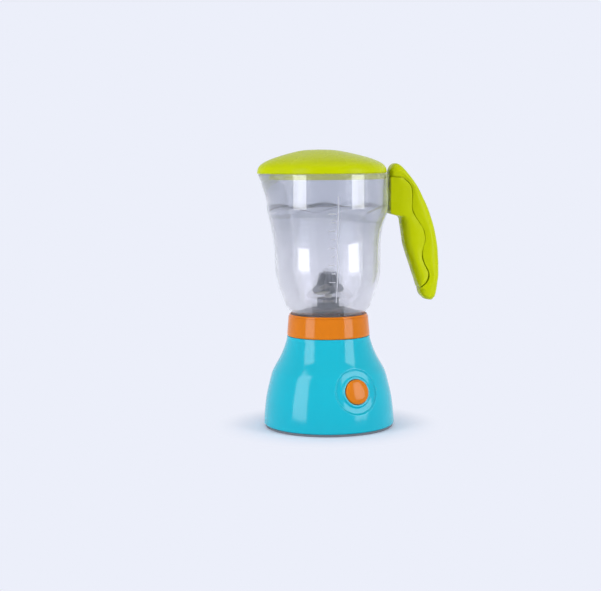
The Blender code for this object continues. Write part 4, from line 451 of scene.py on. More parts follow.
def new_object(name, points, faces):
    """A mesh object, with its points welded where they meet and its faces outwards."""
    mesh = bpy.data.meshes.new(name)
    mesh.from_pydata(points.tolist(), [], faces)
    bm = bmesh.new()
    bm.from_mesh(mesh)
    bmesh.ops.remove_doubles(bm, verts=bm.verts, dist=WELD)
    bmesh.ops.recalc_face_normals(bm, faces=bm.faces)
    bm.to_mesh(mesh)
    bm.free()
    made = bpy.data.objects.new(name, mesh)
    bpy.context.collection.objects.link(made)
    return made


def piece(name, skins, finish, body, replaced=(), cutters=()):
    """One object from one or more skins, less its cutters, with its creases sharp and a finish by name."""
    starts = np.cumsum([0] + [len(points) for points, _ in skins])
    points = np.concatenate([points for points, _ in skins])
    faces = [list(face) for start, (_, quads) in zip(starts, skins) for face in (quads + start).tolist()]
    made = new_object(name, points, faces)
    for tool in cutters:
        step = made.modifiers.new("Cut", "BOOLEAN")
        step.operation = "DIFFERENCE"
        step.solver = "EXACT"
        step.object = tool
    if cutters:
        bpy.context.view_layer.update()
        graph = bpy.context.evaluated_depsgraph_get()
        made.data = bpy.data.meshes.new_from_object(made.evaluated_get(graph))
        made.modifiers.clear()
    for tool in cutters:
        bpy.data.objects.remove(tool)
    made.data.materials.clear()
    made.data.materials.append(bpy.data.materials[finish])
    made.data.shade_smooth()
    made.data.set_sharp_from_angle(angle=CREASE)
    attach(made, body)
    if replaced:
        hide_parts(*replaced)
    return made


def cutter(name, outline, low, high):
    """A flat outline carried from low to high along a direction, as a hidden solid to cut with."""
    count = len(outline)
    ring = np.arange(count)
    after = np.roll(ring, -1)
    faces = np.stack([ring, after, after + count, ring + count], axis=-1).tolist()
    faces += [ring[::-1].tolist(), (ring + count).tolist()]
    made = new_object(name, np.vstack([outline + low, outline + high]), faces)
    made.hide_render = True
    return made


def plate(outline, thickness, edge):
    """A flat plate with rounded edges, in its own x, y and z. Its rings step from the back face to the front face: at
    an angle of a quarter turn either way, z is the half thickness less the edge, plus the edge times the sine, and
    the outline is drawn in along its mitres by the edge less the edge times the cosine."""
    outline = np.asarray(outline, float)
    before, after = outline - np.roll(outline, 1, axis=0), np.roll(outline, -1, axis=0) - outline
    before /= np.linalg.norm(before, axis=1)[:, None]
    after /= np.linalg.norm(after, axis=1)[:, None]
    inward = np.stack([-before[:, 1] - after[:, 1], before[:, 0] + after[:, 0]], axis=1)
    inward /= np.linalg.norm(inward, axis=1)[:, None]
    side = np.stack([-before[:, 1], before[:, 0]], axis=1)
    mitre = inward / np.maximum((inward * side).sum(axis=1), 0.5)[:, None]
    lift = np.linspace(-QUARTER, QUARTER, PLATE_RINGS)[:, None, None]
    rings = outline + edge * (1 - np.cos(lift)) * mitre
    levels = edge * np.sin(lift) + np.sign(lift) * (thickness / 2 - edge)
    points, quads = skin(np.concatenate([rings, levels + 0 * rings[..., :1]], axis=-1))
    ring = np.arange(len(outline))
    return points, quads, [ring[::-1], ring + (PLATE_RINGS - 1) * len(outline)]


def placed(points, across, up, out, at=(0, 0, 0)):
    """Points of a piece's own x, y and z, set along three directions from a place."""
    return points @ np.stack([across, up, out]) + np.asarray(at)


def at_button(*axes):
    """Places given across, up and out of the button's plane, as points of the whole object."""
    return placed(np.stack(axes, axis=-1), BUTTON_ACROSS, BUTTON_UP, BUTTON_OUT, BUTTON_AT)


FLARE = through(FLARE_MM, 110) * MM


def wall_radius(height):
    """The housing's outer radius at a height."""
    return np.interp(height, FLARE[::-1, 1], FLARE[::-1, 0])


def on_wall(across, up, inset):
    """How far out of the button's plane the housing's wall lies. Each pass moves along the button's axis by most of
    what the distance from Z still differs from the wall's radius."""
    out = np.zeros_like(across)
    for _ in range(30):
        place = at_button(across, up, out)
        out = out - 0.85 * (np.hypot(place[..., 0], place[..., 1]) - wall_radius(place[..., 2]) + inset)
    return out


def soft_min(a, b, blend):
    """The lower of two heights, rounded where they cross."""
    return (a + b - np.sqrt((a - b) ** 2 + blend**2)) / 2


def ease(share):
    """0 to 1 with level ends: three squares less two cubes."""
    share = np.clip(share, 0, 1)
    return share**2 * (3 - 2 * share)


def span(start, end):
    return np.arange(start, end, 1 if end > start else -1)


def window_edge(index, rows, columns):
    """The point numbers round a block of a grid, in order."""
    (row_0, row_1), (column_0, column_1) = rows, columns
    right, down = index[row_0, span(column_0, column_1)], index[span(row_0, row_1), column_1]
    left, up = index[row_1, span(column_1, column_0)], index[span(row_1, row_0), column_0]
    return np.concatenate([right, down, left, up])


def dish_rings(edge, sizes, inside, target=None):
    """Rings from a window's edge in to the button's hole. A point slides in along its own radius in the button's
    plane. Outside the dish it lies on the wall, over the dish's edge it sinks by a smooth step to the lower of the
    wall and the dish's floor, and over the raised ring it rises by another. Inside, only the wall and the back of the
    dish count."""
    local = (edge - BUTTON_AT) @ np.stack([BUTTON_ACROSS, BUTTON_UP, BUTTON_OUT]).T
    start_angle = np.arctan2(local[:, 1], local[:, 0])
    start_radius = np.hypot(local[:, 0], local[:, 1])
    target = start_angle if target is None else target
    swing = (target - start_angle + math.pi) % TURN - math.pi
    hole, least, floor = sizes.hole_radius, sizes.dish_least, -sizes.dish_depth
    back = floor - sizes.wall
    rings = []

    def ring(share, radius, height_rule):
        turned_by = start_angle + swing * share
        reach = start_radius * (1 - share) + radius * share
        across, up = reach * np.cos(turned_by), reach * np.sin(turned_by)
        rings.append(at_button(across, up, height_rule(on_wall(across, up, sizes.wall if inside else 0))))

    def sunk(wall):
        return soft_min(wall - least, floor, MM / 2)

    shares = np.linspace(0, 1, 8)[1:]
    if inside:
        rim = sizes.dish_radius + sizes.wall
        for share in shares:
            ring(share, rim, lambda wall: soft_min(wall - least * share, back, MM))
        for radius in np.linspace(rim, hole, 6)[1:-1]:
            ring(1, radius, lambda wall: soft_min(wall - least, back, MM))
        return rings, target
    outer = sizes.dish_radius + sizes.dish_edge
    half_edge = sizes.dish_edge / 2
    ring_foot, bevel = sizes.ring_radius + half_edge, hole + half_edge
    edge_radii = outer - 2 * sizes.dish_edge * np.linspace(0, 1, 12)[1:]
    for share in shares:
        ring(share, outer, lambda wall: wall)
    for radius in edge_radii:
        sink = ease((outer - radius) / (2 * sizes.dish_edge))
        ring(1, radius, lambda wall: wall + sink * (sunk(wall) - wall))
    for radius in np.linspace(edge_radii[-1], ring_foot, 5)[1:]:
        ring(1, radius, sunk)
    for radius in np.linspace(ring_foot, bevel, 10)[1:]:
        rise = sizes.ring_rise * ease((ring_foot - radius) / sizes.dish_edge)
        ring(1, radius, lambda wall: sunk(wall) + rise)
    for radius in np.linspace(bevel, hole, 5)[1:]:
        drop = half_edge * (1 - math.sqrt(max(0, 1 - (1 - (radius - hole) / half_edge) ** 2)))
        ring(1, radius, lambda wall: wall * 0 + floor + sizes.ring_rise - drop)
    for depth in np.linspace(floor, back, 3):
        ring(1, hole, lambda wall: wall * 0 + depth)
    return rings, target


def housing_skins(sizes):
    """The housing as one closed skin. A meridian runs from the deck's hole over the plug, down the flare, round the
    foot and back up inside at the wall's thickness, and is turned about Z. A window in the outer side and one in the
    inner side are left out of it, and rings join them at the button's hole."""
    wall, flare = sizes.wall, FLARE[3:]
    deck = filleted(
        (
            (sizes.shaft_hole, PLUG_Z, 0),
            (sizes.plug_radius, PLUG_Z, sizes.plug_edge / MM),
            (sizes.plug_radius, SHOULDER_Z, 0.4),
            (FLARE[0, 0], SHOULDER_Z, 0.5),
            (*flare[0], 0),
        )
    )[:-1]
    foot = filleted([(r * MM, z * MM, fillet) for r, z, fillet in ((*FLARE_MM[-1], 0), *FOOT_CORNERS_MM)])
    inner_flare = flare[::-1] - (wall, 0)
    inner_flare = inner_flare[inner_flare[:, 1] < SHOULDER_Z - 2 * wall]
    top = (
        (FLARE[0, 0] - wall, SHOULDER_Z - wall),
        (sizes.plug_radius - wall, SHOULDER_Z - wall),
        (sizes.plug_radius - wall, PLUG_Z - wall),
        (sizes.shaft_hole, PLUG_Z - wall),
    )
    meridian = np.vstack([deck, flare, foot[1:], inner_flare, top])
    wide = np.arange(-QUARTER + WINDOW_HALF, 3 * QUARTER - WINDOW_HALF, COLUMN_STEP)
    narrow = np.arange(-QUARTER - WINDOW_HALF, -QUARTER + WINDOW_HALF - WINDOW_STEP / 2, WINDOW_STEP)
    points = turned(meridian, np.concatenate([narrow, wide]) + BASE_TURN)
    index = numbered(points)

    first, last = (int(np.argmax(flare[:, 1] < height)) for height in (WINDOW_HIGH_Z, WINDOW_LOW_Z))
    inner_end = len(deck) + 2 * len(flare) + len(foot) - 2
    outer_rows, inner_rows = (len(deck) + first, len(deck) + last), (inner_end - first, inner_end - last)
    columns = (0, len(narrow))
    outer_edge, inner_edge = (
        points.reshape(-1, 3)[window_edge(index, rows, columns)] for rows in (outer_rows, inner_rows)
    )
    outer_rings, target = dish_rings(outer_edge, sizes, False)
    inner_rings, _ = dish_rings(inner_edge, sizes, True, target)
    blocks = [(outer_rows, columns), (inner_rows[::-1], columns)]
    funnel = np.stack([outer_edge, *outer_rings, *inner_rings[::-1], inner_edge])
    return [skin(points, loop_rows=True, skip=blocks), skin(funnel)]


def slot_cutters(sizes):
    """Round-ended upright slots through the wall at the back, taller in the middle."""
    low, high = (corner[2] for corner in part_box("speaker_frame"))
    radius = sizes.slot_width / 2
    turn = np.linspace(0, math.pi, 9)
    made = []
    for number, share in enumerate(SLOT_SHARES):
        tall = share * (high - low) / 2 - radius
        upper = np.stack([radius * np.cos(turn), tall + radius * np.sin(turn)], axis=1)
        x, z = np.vstack([upper, -upper]).T[..., None]
        outline = (x + (number - 2) * sizes.slot_pitch) * BUTTON_ACROSS + (z + (low + high) / 2) * UP
        made.append(cutter(f"slot_{number}", outline, *(BASE_BACK * reach for reach in SLOT_CUT)))
    return made


def lamp_skin(sizes):
    """The lamp: half a ball on a round stem, with a flange under the deck that keeps it in. Turned about its own
    upright axis."""
    low, high = (np.array(corner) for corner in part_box("lamp"))
    radius = sizes.lamp_radius
    dome = np.linspace(0, QUARTER, 13)[:, None]
    ball = radius * np.hstack([np.sin(dome), np.cos(dome)]) + (0, high[2] - radius)
    flange = (high - low)[0] / 2
    under = PLUG_Z - sizes.wall - GAP
    corners = (radius, ball[-1, 1], 0), (radius, under, 0), (flange, under, 0.2), (flange, low[2], 0.2), (0, low[2], 0)
    points = turned(np.vstack([ball, filleted(corners)[1:]]), ring_angles(48))
    return skin(points + (low + high) / 2 * (1, 1, 0))


def lamp_cutter(sizes):
    """A round hole through the deck, a running gap wider than the lamp's stem."""
    low, high = (np.array(corner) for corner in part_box("lamp"))
    outline = polar(sizes.lamp_radius + GAP, ring_angles(40), 0) + (low + high) / 2 * (1, 1, 0)
    return cutter("lamp_hole", outline, *(UP * height for height in LAMP_CUT))


class TOYBLENDER_OT_base(bpy.types.Operator):
    """Build the flared housing with its dish, ring, plug and sound slots, the lamp, the push button and its spring"""

    bl_idname = "toy_blender.base"
    bl_label = "Base and Button"

    def execute(self, context):
        sizes = settings("base")
        holes = [*slot_cutters(sizes), lamp_cutter(sizes)]
        shell = housing_skins(sizes)
        piece("base_shell", shell, "moulded_abs_turquoise", "base", ["base_housing"], holes)
        piece("lamp_lens", [lamp_skin(sizes)], "milky_epoxy", "base", ["lamp"])
        radius, flange = sizes.button_radius, sizes.button_flange
        face = -sizes.dish_depth - sizes.wall - GAP
        behind, stem = face - sizes.flange_wall, face - BUTTON_STEM_DEPTH
        low = sizes.button_rise - sizes.button_dome
        crown = np.linspace(0, QUARTER, 14)
        dome = np.stack([radius * np.sin(crown), low + sizes.button_dome * np.cos(crown) ** 0.8], axis=1)
        corners = (radius, low, 0), (radius, face, 0), (flange, face, 0.2), (flange, behind, 0.2)
        corners += (BUTTON_STEM_R, behind, 0), (BUTTON_STEM_R, stem, 0.3), (0, stem, 0)
        points = turned(np.vstack([dome, filleted(corners)[1:]]), ring_angles(96))
        cap = [skin(at_button(*np.moveaxis(points, -1, 0)))]
        piece("button_cap", cap, "moulded_abs_orange", "push_button", ["button"])
        self.spring(sizes, behind)
        return {"FINISHED"}

    def spring(self, sizes, behind):
        """A round wire on an evenly climbing coil, closed to a point at both ends. Its section lies across the coil,
        in the plane of the coil's radius and axis."""
        low, high = behind - sizes.spring_gap + GAP, behind - GAP
        turn = np.linspace(0, SPRING_TURNS * TURN, SPRING_TURNS * 40)[:, None]
        phase = ring_angles(12)
        wire = sizes.spring_wire
        climb = low + wire + (high - low - 2 * wire) * turn / turn[-1]
        points = capped(polar(sizes.spring_radius + wire * np.cos(phase), turn, climb + wire * np.sin(phase)))
        coil = [skin(at_button(*np.moveaxis(points, -1, 0)))]
        made = piece("spring_coil", coil, "zinc_plated_steel", "base", ["button_spring"])
        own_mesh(made)


def jug_outline(table, height):
    curve = through(table, 200) * MM
    return np.interp(height, curve[:, 1], curve[:, 0])


def spout_bulge(angles, spread):
    """The spout's share of its reach round the rim: half of one plus the cosine, over its spread, on the -X side."""
    off = np.abs((angles % TURN) - math.pi)
    return np.where(off < spread, (1 + np.cos(math.pi * np.minimum(off / spread, 1))) / 2, 0)


def jug_wall(height, angles, sizes):
    """The jug's outer radius at heights (a column) and angles (a row): the spout side's and the handle side's curves
    mixed by the cosine of the angle, plus the spout, which grows with height."""
    toward_handle = (1 + np.cos(angles)) / 2
    spout_side = jug_outline(SPOUT_SIDE_MM, height)
    handle_side = jug_outline(HANDLE_SIDE_MM, height)
    radius = spout_side + toward_handle * (handle_side - spout_side)
    climb = np.clip((height - RIM_Z + sizes.spout_height) / sizes.spout_height, 0, 1)
    return radius + sizes.spout_reach * climb**1.15 * spout_bulge(angles, sizes.spout_spread)


def arch_line(angles, sizes):
    """The height of the scalloped line round the jug: half a sine between each two cusps."""
    arch = np.interp(angles, np.radians(ARCH_CUSPS), np.arange(len(ARCH_CUSPS)))
    return ARCH_Z + sizes.arch_rise * np.abs(np.sin(math.pi * arch))


def bead_skin(sizes):
    """The thick bead along the arches, inside the wall: an upright ellipse carried once round the jug, large at the
    back and small at the front, and swelling under each arch. It starts at the clear wall's inner face."""
    angles = ring_angles(288)
    phase = ring_angles(14)[:, None]
    line = arch_line(angles, sizes)
    size = sizes.bead_front + (1 - sizes.bead_front) * ease(np.sin(angles) + 1 / 2)
    size = size * (0.35 + 0.65 * (line - ARCH_Z) / sizes.arch_rise)
    height = line + sizes.bead_height * size * (np.sin(phase) / 2 - 0.55)
    inset = sizes.wall + sizes.bead_depth * size / 2 * (1 - np.cos(phase))
    return skin(polar(jug_wall(height, angles, sizes) - inset, angles, height), loop_rows=True)


def jug_skin(sizes):
    """The clear wall as one closed skin. Outside it follows the jug's own radius. Inside it lies a wall's thickness
    in, and below the scalloped line it steps in a little further, less and less towards its foot."""
    angles = ring_angles(288)
    outside = np.linspace(RIM_Z - JUG_LIP, JUG_FOOT_Z, 150)
    lip = np.linspace(0, math.pi, 9)[1:-1]
    rows = np.concatenate([outside, outside[::-1], RIM_Z - JUG_LIP + JUG_LIP * np.sin(lip)])[:, None]
    half = sizes.wall / 2
    inset = np.concatenate([0 * outside, 0 * outside + sizes.wall, half + half * np.cos(lip)])[:, None]
    below = ease((arch_line(angles, sizes) - rows) / STEP_EDGE) * ease((rows - STEP_END_Z) / STEP_FADE)
    radius = jug_wall(rows, angles, sizes) - inset - (inset == sizes.wall) * below * sizes.arch_step
    return skin(polar(radius, angles, rows), loop_rows=True)


def rib(sizes, start, end, side_start, side_end, count):
    """A raised line on the jug's front wall from one place to another, given by height and by distance across. Its
    section is half an ellipse, and its ends taper to points over one rib's width."""
    t = np.linspace(0, 1, count)[:, None]
    phase = np.linspace(0, math.pi, 9)
    long_way = math.hypot(end - start, side_end - side_start)
    taper = np.sqrt(np.clip(np.minimum(t, 1 - t) * long_way / (sizes.rib_width / 2), 0.02, 1))
    offset = sizes.rib_width / 2 * np.cos(phase) * taper / long_way
    side = side_start + (side_end - side_start) * t + offset * (end - start)
    height = start + (end - start) * t - offset * (side_end - side_start)
    turn = -QUARTER + side / SCALE_R
    rise = sizes.rib_rise * np.sin(phase) * taper - RIB_SINK
    return skin(polar(jug_wall(height, turn, sizes) + rise, turn, height))


class TOYBLENDER_OT_jug(bpy.types.Operator):
    """Build the clear jug with its spout, its raised scale, the bosses under the handle and the bead inside"""

    bl_idname = "toy_blender.jug"
    bl_label = "Clear Jug"

    def execute(self, context):
        sizes = settings("jug")
        piece("jug_shell", [jug_skin(sizes)], "clear_styrene", "jug", ["jug_body"])
        scale = [rib(sizes, SCALE_LOW, SCALE_HIGH, 0, 0, 90)]
        for number in range(TICKS):
            height = TICK_LOW + number * TICK_STEP
            scale.append(rib(sizes, height, height, -TICK_GAP, -TICK_GAP - TICK_LENGTHS[number % 2], 9))
        piece("jug_scale", scale, "frosted_styrene", "jug")
        corners = (BOSS_R, BOSS_FROM, 0), (BOSS_R, BOSS_TO, 0.3), (BOSS_BORE, BOSS_TO, 0), (BOSS_BORE, BOSS_FROM, 0)
        tube = turned(filleted(corners), ring_angles(40))
        bosses = []
        for name in ("handle_screw_1", "handle_screw_2"):
            middle = sum(corner[2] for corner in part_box(name)) / 2
            bosses.append(skin(placed(tube, (0, 1, 0), UP, (1, 0, 0), (0, 0, middle)), loop_rows=True))
        piece("jug_bosses", bosses, "clear_styrene", "jug")
        # The bead's grey finish is painted shade, for the light that bends away in it
        piece("jug_arches", [bead_skin(sizes)], "clear_styrene_thick_painted_shade", "jug")
        return {"FINISHED"}


class TOYBLENDER_OT_collar(bpy.types.Operator):
    """Turn the orange collar and the dark floor that it holds"""

    bl_idname = "toy_blender.collar"
    bl_label = "Collar and Floor"

    def execute(self, context):
        sizes = settings("jug")
        ledge, step = PLUG_Z + GAP, COLLAR_HIGH - sizes.collar_lip
        foot, lip = FLARE[0, 0], sizes.collar_radius - sizes.collar_step
        corners = (
            (COLLAR_BORE, ledge + 2 * MM, 0), (COLLAR_BORE, COLLAR_HIGH, 0.7), (lip, COLLAR_HIGH, 0.8),
            (lip, step, 0.15), (sizes.collar_radius, step, 0.5), (foot, COLLAR_LOW + MM, 2),
            (foot - GAP, COLLAR_LOW, 0.3), (COLLAR_SEAT, COLLAR_LOW, 0.4), (COLLAR_SEAT, ledge, 0.2),
            (LEDGE_BORE, ledge, 0.2), (LEDGE_BORE, ledge + LEDGE_WALL, 0.2), (COLLAR_BORE, ledge + LEDGE_WALL, 0),
        )
        ring = skin(turned(filleted(corners), ring_angles(192)), loop_rows=True)
        piece("collar_ring", [ring], "moulded_abs_orange", "jug", ["jug_collar"])
        side = [(radius * MM, FLOOR_Z + lift * MM, fillet) for radius, lift, fillet in FLOOR_SIDE_MM]
        corners = (
            (SHAFT_BORE, FLOOR_HOLLOW_Z, 0), (SHAFT_BORE, HUB_TOP, 0.2), (side[0][0], HUB_TOP, 1.0), *side,
            (side[-1][0], FLOOR_HOLLOW_Z, 0.4), (SHAFT_BORE, FLOOR_HOLLOW_Z, 0),
        )
        ring = skin(turned(filleted(corners)[:-1], ring_angles(144)), loop_rows=True)
        piece("jug_cone", [ring], "grained_abs_charcoal", "jug", ["jug_floor"])
        return {"FINISHED"}


class TOYBLENDER_OT_lid(bpy.types.Operator):
    """Build the domed lid, with its beak over the spout and its skirt inside the jug"""

    bl_idname = "toy_blender.lid"
    bl_label = "Lid"

    def execute(self, context):
        sizes = settings("lid")
        angles = ring_angles(240)
        reach = sizes.reach + sizes.spout_reach * spout_bulge(angles, settings("jug").spout_spread)
        tall = LID_TOP - LID_Z
        skirt_out, skirt_in = sizes.skirt_radius, sizes.skirt_radius - sizes.skirt_wall

        def dome(shares, outline, rise):
            """Rings at shares of an outline, drawn towards the apex, at shares of a height."""
            share = shares[:, :1]
            rings = polar(share * outline, angles, LID_Z + shares[:, 1:] * rise)
            rings[..., 0] -= (1 - share) * sizes.apex
            return rings

        lip = filleted(((0, LID_LIP, 0), (0, 0, 0.5), (-1, 0, 0)), steps=8)[1:-1]
        rim = polar(reach + lip[:, :1], angles, LID_Z + lip[:, 1:])
        under = np.array(((skirt_out, LID_Z), (skirt_in, LID_Z), (skirt_in, LID_Z + 2 * LID_LAP)))
        inside = dome(through(LID_SHARES, 40)[::-1], skirt_in, tall - sizes.wall)
        inside = inside[inside[:, 0, 2] > LID_Z + LID_INNER_LOW]
        points = np.concatenate([dome(through(LID_SHARES, 70), reach, tall), rim, turned(under, angles), inside])
        piece("lid_dome", [skin(points)], "moulded_abs_lime", "cover", ["lid"])
        low, high = SKIRT_Z + sizes.skirt_short, LID_Z + LID_LAP
        skirt = filleted(((skirt_out, high, 0), (skirt_out, low, 0.5), (skirt_in, low, 0.5), (skirt_in, high, 0)))
        ring = skin(turned(skirt, angles), loop_rows=True)
        # The skirt's finish is a paler lime, painted light for the light that comes through it
        piece("lid_skirt", [ring], "moulded_abs_lime_thin_painted_light", "cover")
        return {"FINISHED"}


def handle_skin(edge_mm, parting_mm, count, sizes, seat=None):
    """One half of the handle: a closed section carried down it. A section runs from the edge curve to the parting
    line in x and height, and across the handle in y. Its four corners are quarter arcs, wide along the edge curve and
    fine along the parting line. Its sides swell by the crown times a smooth step of the way across. The outer half,
    without a seat, narrows at both ends, and its tip is rounded all round where it is bare. The inner half narrows
    at its low end, and its edge is nearly sharp above the seat."""
    edge, parting = through(edge_mm, count) * MM, through(parting_mm, count) * MM
    gap = edge - parting
    depth = np.hypot(gap[:, 0], gap[:, 1])
    way = gap / depth[:, None]
    share = np.linspace(0, 1, count)
    if seat is None:
        half = sizes.width / 2 * (1 - 0.42 * np.exp(-np.minimum(share, 1 - share) * count / 3))
        bare = ease((TIP_BARE_Z - parting[:, 1]) / TIP_FADE)
    else:
        half = sizes.width / 2 * (1 - 0.15 * np.exp(-(1 - share) * count / 4))
        bare = 0
    widest = np.minimum(depth * 0.6, half * 0.9)
    wide = np.minimum(sizes.edge, widest)
    if seat is not None:
        free = ease((seat - edge[:, 1]) / SEAT_FADE)
        wide = np.minimum(wide * free + SEAT_EDGE * (1 - free), widest)
    fine = np.minimum(sizes.groove + (sizes.edge - sizes.groove) * bare, depth * (0.2 + 0.2 * bare))
    depth, half, wide, fine = (values[:, None] for values in (depth, half, wide, fine))
    arc = np.linspace(0, QUARTER, 9)
    out_arc = depth - wide * (1 - np.cos(arc))
    near_arc = fine * (1 - np.sin(arc))
    flat_out = out_arc[:, -1:] + (near_arc[:, :1] - out_arc[:, -1:]) * np.linspace(0, 1, 6)[1:-1]
    along = np.concatenate([out_arc, flat_out, near_arc], axis=1)
    sides = [half - wide * (1 - np.sin(arc)), half + 0 * flat_out, half - fine * (1 - np.cos(arc))]
    across = np.concatenate(sides, axis=1)
    across = across + sizes.crown * (ease(1 - np.abs(2 * along / depth - 0.9)) - 0.5) * (across / half)
    along = np.concatenate([along, along[:, ::-1]], axis=1)
    across = np.concatenate([across, -across[:, ::-1]], axis=1)
    x, z = (parting[:, [n]] + way[:, [n]] * along for n in (0, 1))
    return [skin(capped(np.stack([x, across, z], axis=-1)))]


def tongue_skin(line_mm, count, sizes):
    """The tongue that closes the joint between the handle's halves: an oblong section carried down the parting line.
    Its four corners lie the tongue's depth to either side of the line, along the line's normal, and half its width
    across the handle. Both ends close to a point."""
    line = through(line_mm, count) * MM
    along = np.gradient(line, axis=0)
    normal = np.stack([-along[:, 1], along[:, 0]], axis=1) / np.hypot(along[:, 0], along[:, 1])[:, None]
    side = np.array((-1, 1, 1, -1)) * sizes.tongue_width / 2
    depth = np.array((-1, -1, 1, 1)) * sizes.tongue_depth
    x, z = (line[:, [n]] + normal[:, [n]] * depth for n in (0, 1))
    return [skin(capped(np.stack([x, side + 0 * x, z], axis=-1)))]


class TOYBLENDER_OT_handle(bpy.types.Operator):
    """Build the two halves of the handle, which meet along a wavy groove, and the tongue inside it"""

    bl_idname = "toy_blender.handle"
    bl_label = "Handle"

    def execute(self, context):
        sizes = settings("handle")
        cover = handle_skin(COVER_EDGE_MM, PARTING_MM, 150, sizes)
        piece("handle_cover", cover, "moulded_abs_lime", "jug", ["handle_outer"])
        grip = handle_skin(GRIP_EDGE_MM, GRIP_PARTING_MM, 150, sizes, seat=GRIP_SEAT_Z)
        piece("handle_grip", grip, "moulded_abs_lime", "jug", ["handle_inner"])
        tongue = tongue_skin(PARTING_MM[1:-3], 120, sizes)
        piece("handle_tongue", tongue, "moulded_abs_lime", "jug")
        return {"FINISHED"}


class TOYBLENDER_OT_stirrer(bpy.types.Operator):
    """Build the stirrer's hub with its stepped fins, and its two low blades"""

    bl_idname = "toy_blender.stirrer"
    bl_label = "Stirrer"

    def execute(self, context):
        sizes = settings("stirrer")
        tall = STIRRER_TOP - STIRRER_Z
        radius, roof = sizes.hub_radius, STIRRER_TOP - HUB_ROOF
        corners = (0, STIRRER_TOP, 0), (radius / 2, STIRRER_TOP, 0.6), (radius, STIRRER_Z + tall / 2, 2)
        corners += (radius, STIRRER_Z, 0.3), (SHAFT_BORE, STIRRER_Z, 0), (SHAFT_BORE, roof, 0), (0, roof, 0)
        hub = skin(turned(filleted(corners), ring_angles(48)))
        outline = np.array(FIN_SHARES) * (sizes.fin_reach, tall)
        fins = self.spread(outline, sizes.fin_thickness, 4, sizes.turn, True, STIRRER_Z)
        piece("stirrer_fins", [hub, *fins], "grained_abs_charcoal", "stirring", ["stirrer"])
        half, tip = sizes.blade_width / 2, sizes.blade_reach
        corner = tip - BLADE_CORNER
        outline = (BLADE_ROOT, -half), (corner, -half), (tip, -half / 3), (tip, half / 3), (corner, half)
        outline += ((BLADE_ROOT, half),)
        lift = STIRRER_Z + BLADE_LIFT + sizes.blade_thickness / 2
        blades = self.spread(outline, sizes.blade_thickness, 2, sizes.turn + TURN / 8, False, lift)
        piece("stirrer_blades", blades, "natural_acetal", "stirring")
        return {"FINISHED"}

    def spread(self, outline, thickness, count, start, upright, lift):
        """Like plates spread evenly round the axis, each along its own radius, upright or lying flat."""
        flat, quads, ends = plate(outline, thickness, PLATE_EDGE)
        skins = []
        for number in range(count):
            way, side = (polar(1, start + TURN * number / count + more, 0) for more in (0, QUARTER))
            points = placed(flat, way, *((UP, -side) if upright else (side, UP)), (0, 0, lift))
            skins += [(points, quads), *((points, end[None]) for end in ends)]
        return skins


def add_node(owner, kind, values=None, links=None):
    """A node with its settings, by property or by input name or number, and its links, from output sockets."""
    made = owner.node_tree.nodes.new(kind)
    for name, value in (values or {}).items():
        if isinstance(name, int) or name in made.inputs:
            made.inputs[name].default_value = value
        else:
            setattr(made, name, value)
    for name, output in (links or {}).items():
        owner.node_tree.links.new(output, made.inputs[name])
    return made


def surface(name, tint, roughness, spread, texture_mm, bump_mm, tone=0.06, smudge_mm=22.0, **shader_values):
    """A material whose colour, given linear or as a hex code, drifts slightly over a hand's breadth, whose gloss is
    broken by smudges, and whose surface carries a fine relief of a real pitch and depth."""
    tint = np.array(linear(tint) if isinstance(tint, str) else tint)
    made = bpy.data.materials.new(name)
    made.use_nodes = True
    shader = made.node_tree.nodes["Principled BSDF"]
    for key, value in shader_values.items():
        shader.inputs[key.replace("_", " ").title().replace("Ior", "IOR")].default_value = value
    place = add_node(made, "ShaderNodeTexCoord").outputs["Object"]

    def noise(size_mm, detail, **more):
        values = {"Scale": 1 / (size_mm * MM), "Detail": detail, **more}
        return add_node(made, "ShaderNodeTexNoise", values, {"Vector": place}).outputs["Fac"]

    dark, light = ((*np.clip(tint * (1 + more), 0, 1), 1) for more in (-tone, tone))
    mix = add_node(made, "ShaderNodeMix", {"data_type": "RGBA", 6: dark, 7: light}, {0: noise(DRIFT_MM, 2.0)})
    start, end = SMUDGE_RANGE
    levels = {"From Min": start, "From Max": end, "To Min": roughness, "To Max": roughness + spread}
    gloss = add_node(made, "ShaderNodeMapRange", levels, {"Value": noise(smudge_mm, 5.0, Roughness=0.6)})
    relief = {"Strength": 1.0, "Distance": bump_mm * MM}
    bump = add_node(made, "ShaderNodeBump", relief, {"Height": noise(texture_mm, 2.0)})
    made.node_tree.links.new(mix.outputs[2], shader.inputs["Base Color"])
    made.node_tree.links.new(gloss.outputs["Result"], shader.inputs["Roughness"])
    made.node_tree.links.new(bump.outputs["Normal"], shader.inputs["Normal"])
    made.diffuse_color = (*tint, 1)
    return made


def painted_light_below(material, paler, low, high):
    """The material's colour gives way evenly to a paler one from a height down to a lower one: painted light, standing
    in for the light that comes through the jug low down."""
    shader = material.node_tree.nodes["Principled BSDF"]
    above = shader.inputs["Base Color"].links[0].from_socket
    place = add_node(material, "ShaderNodeTexCoord").outputs["Object"]
    height = add_node(material, "ShaderNodeSeparateXYZ", links={"Vector": place}).outputs["Z"]
    share = add_node(material, "ShaderNodeMapRange", {"From Min": low, "From Max": high}, {"Value": height})
    colours = {"data_type": "RGBA", 6: (*paler, 1)}
    mix = add_node(material, "ShaderNodeMix", colours, {0: share.outputs["Result"], 7: above})
    material.node_tree.links.new(mix.outputs[2], shader.inputs["Base Color"])


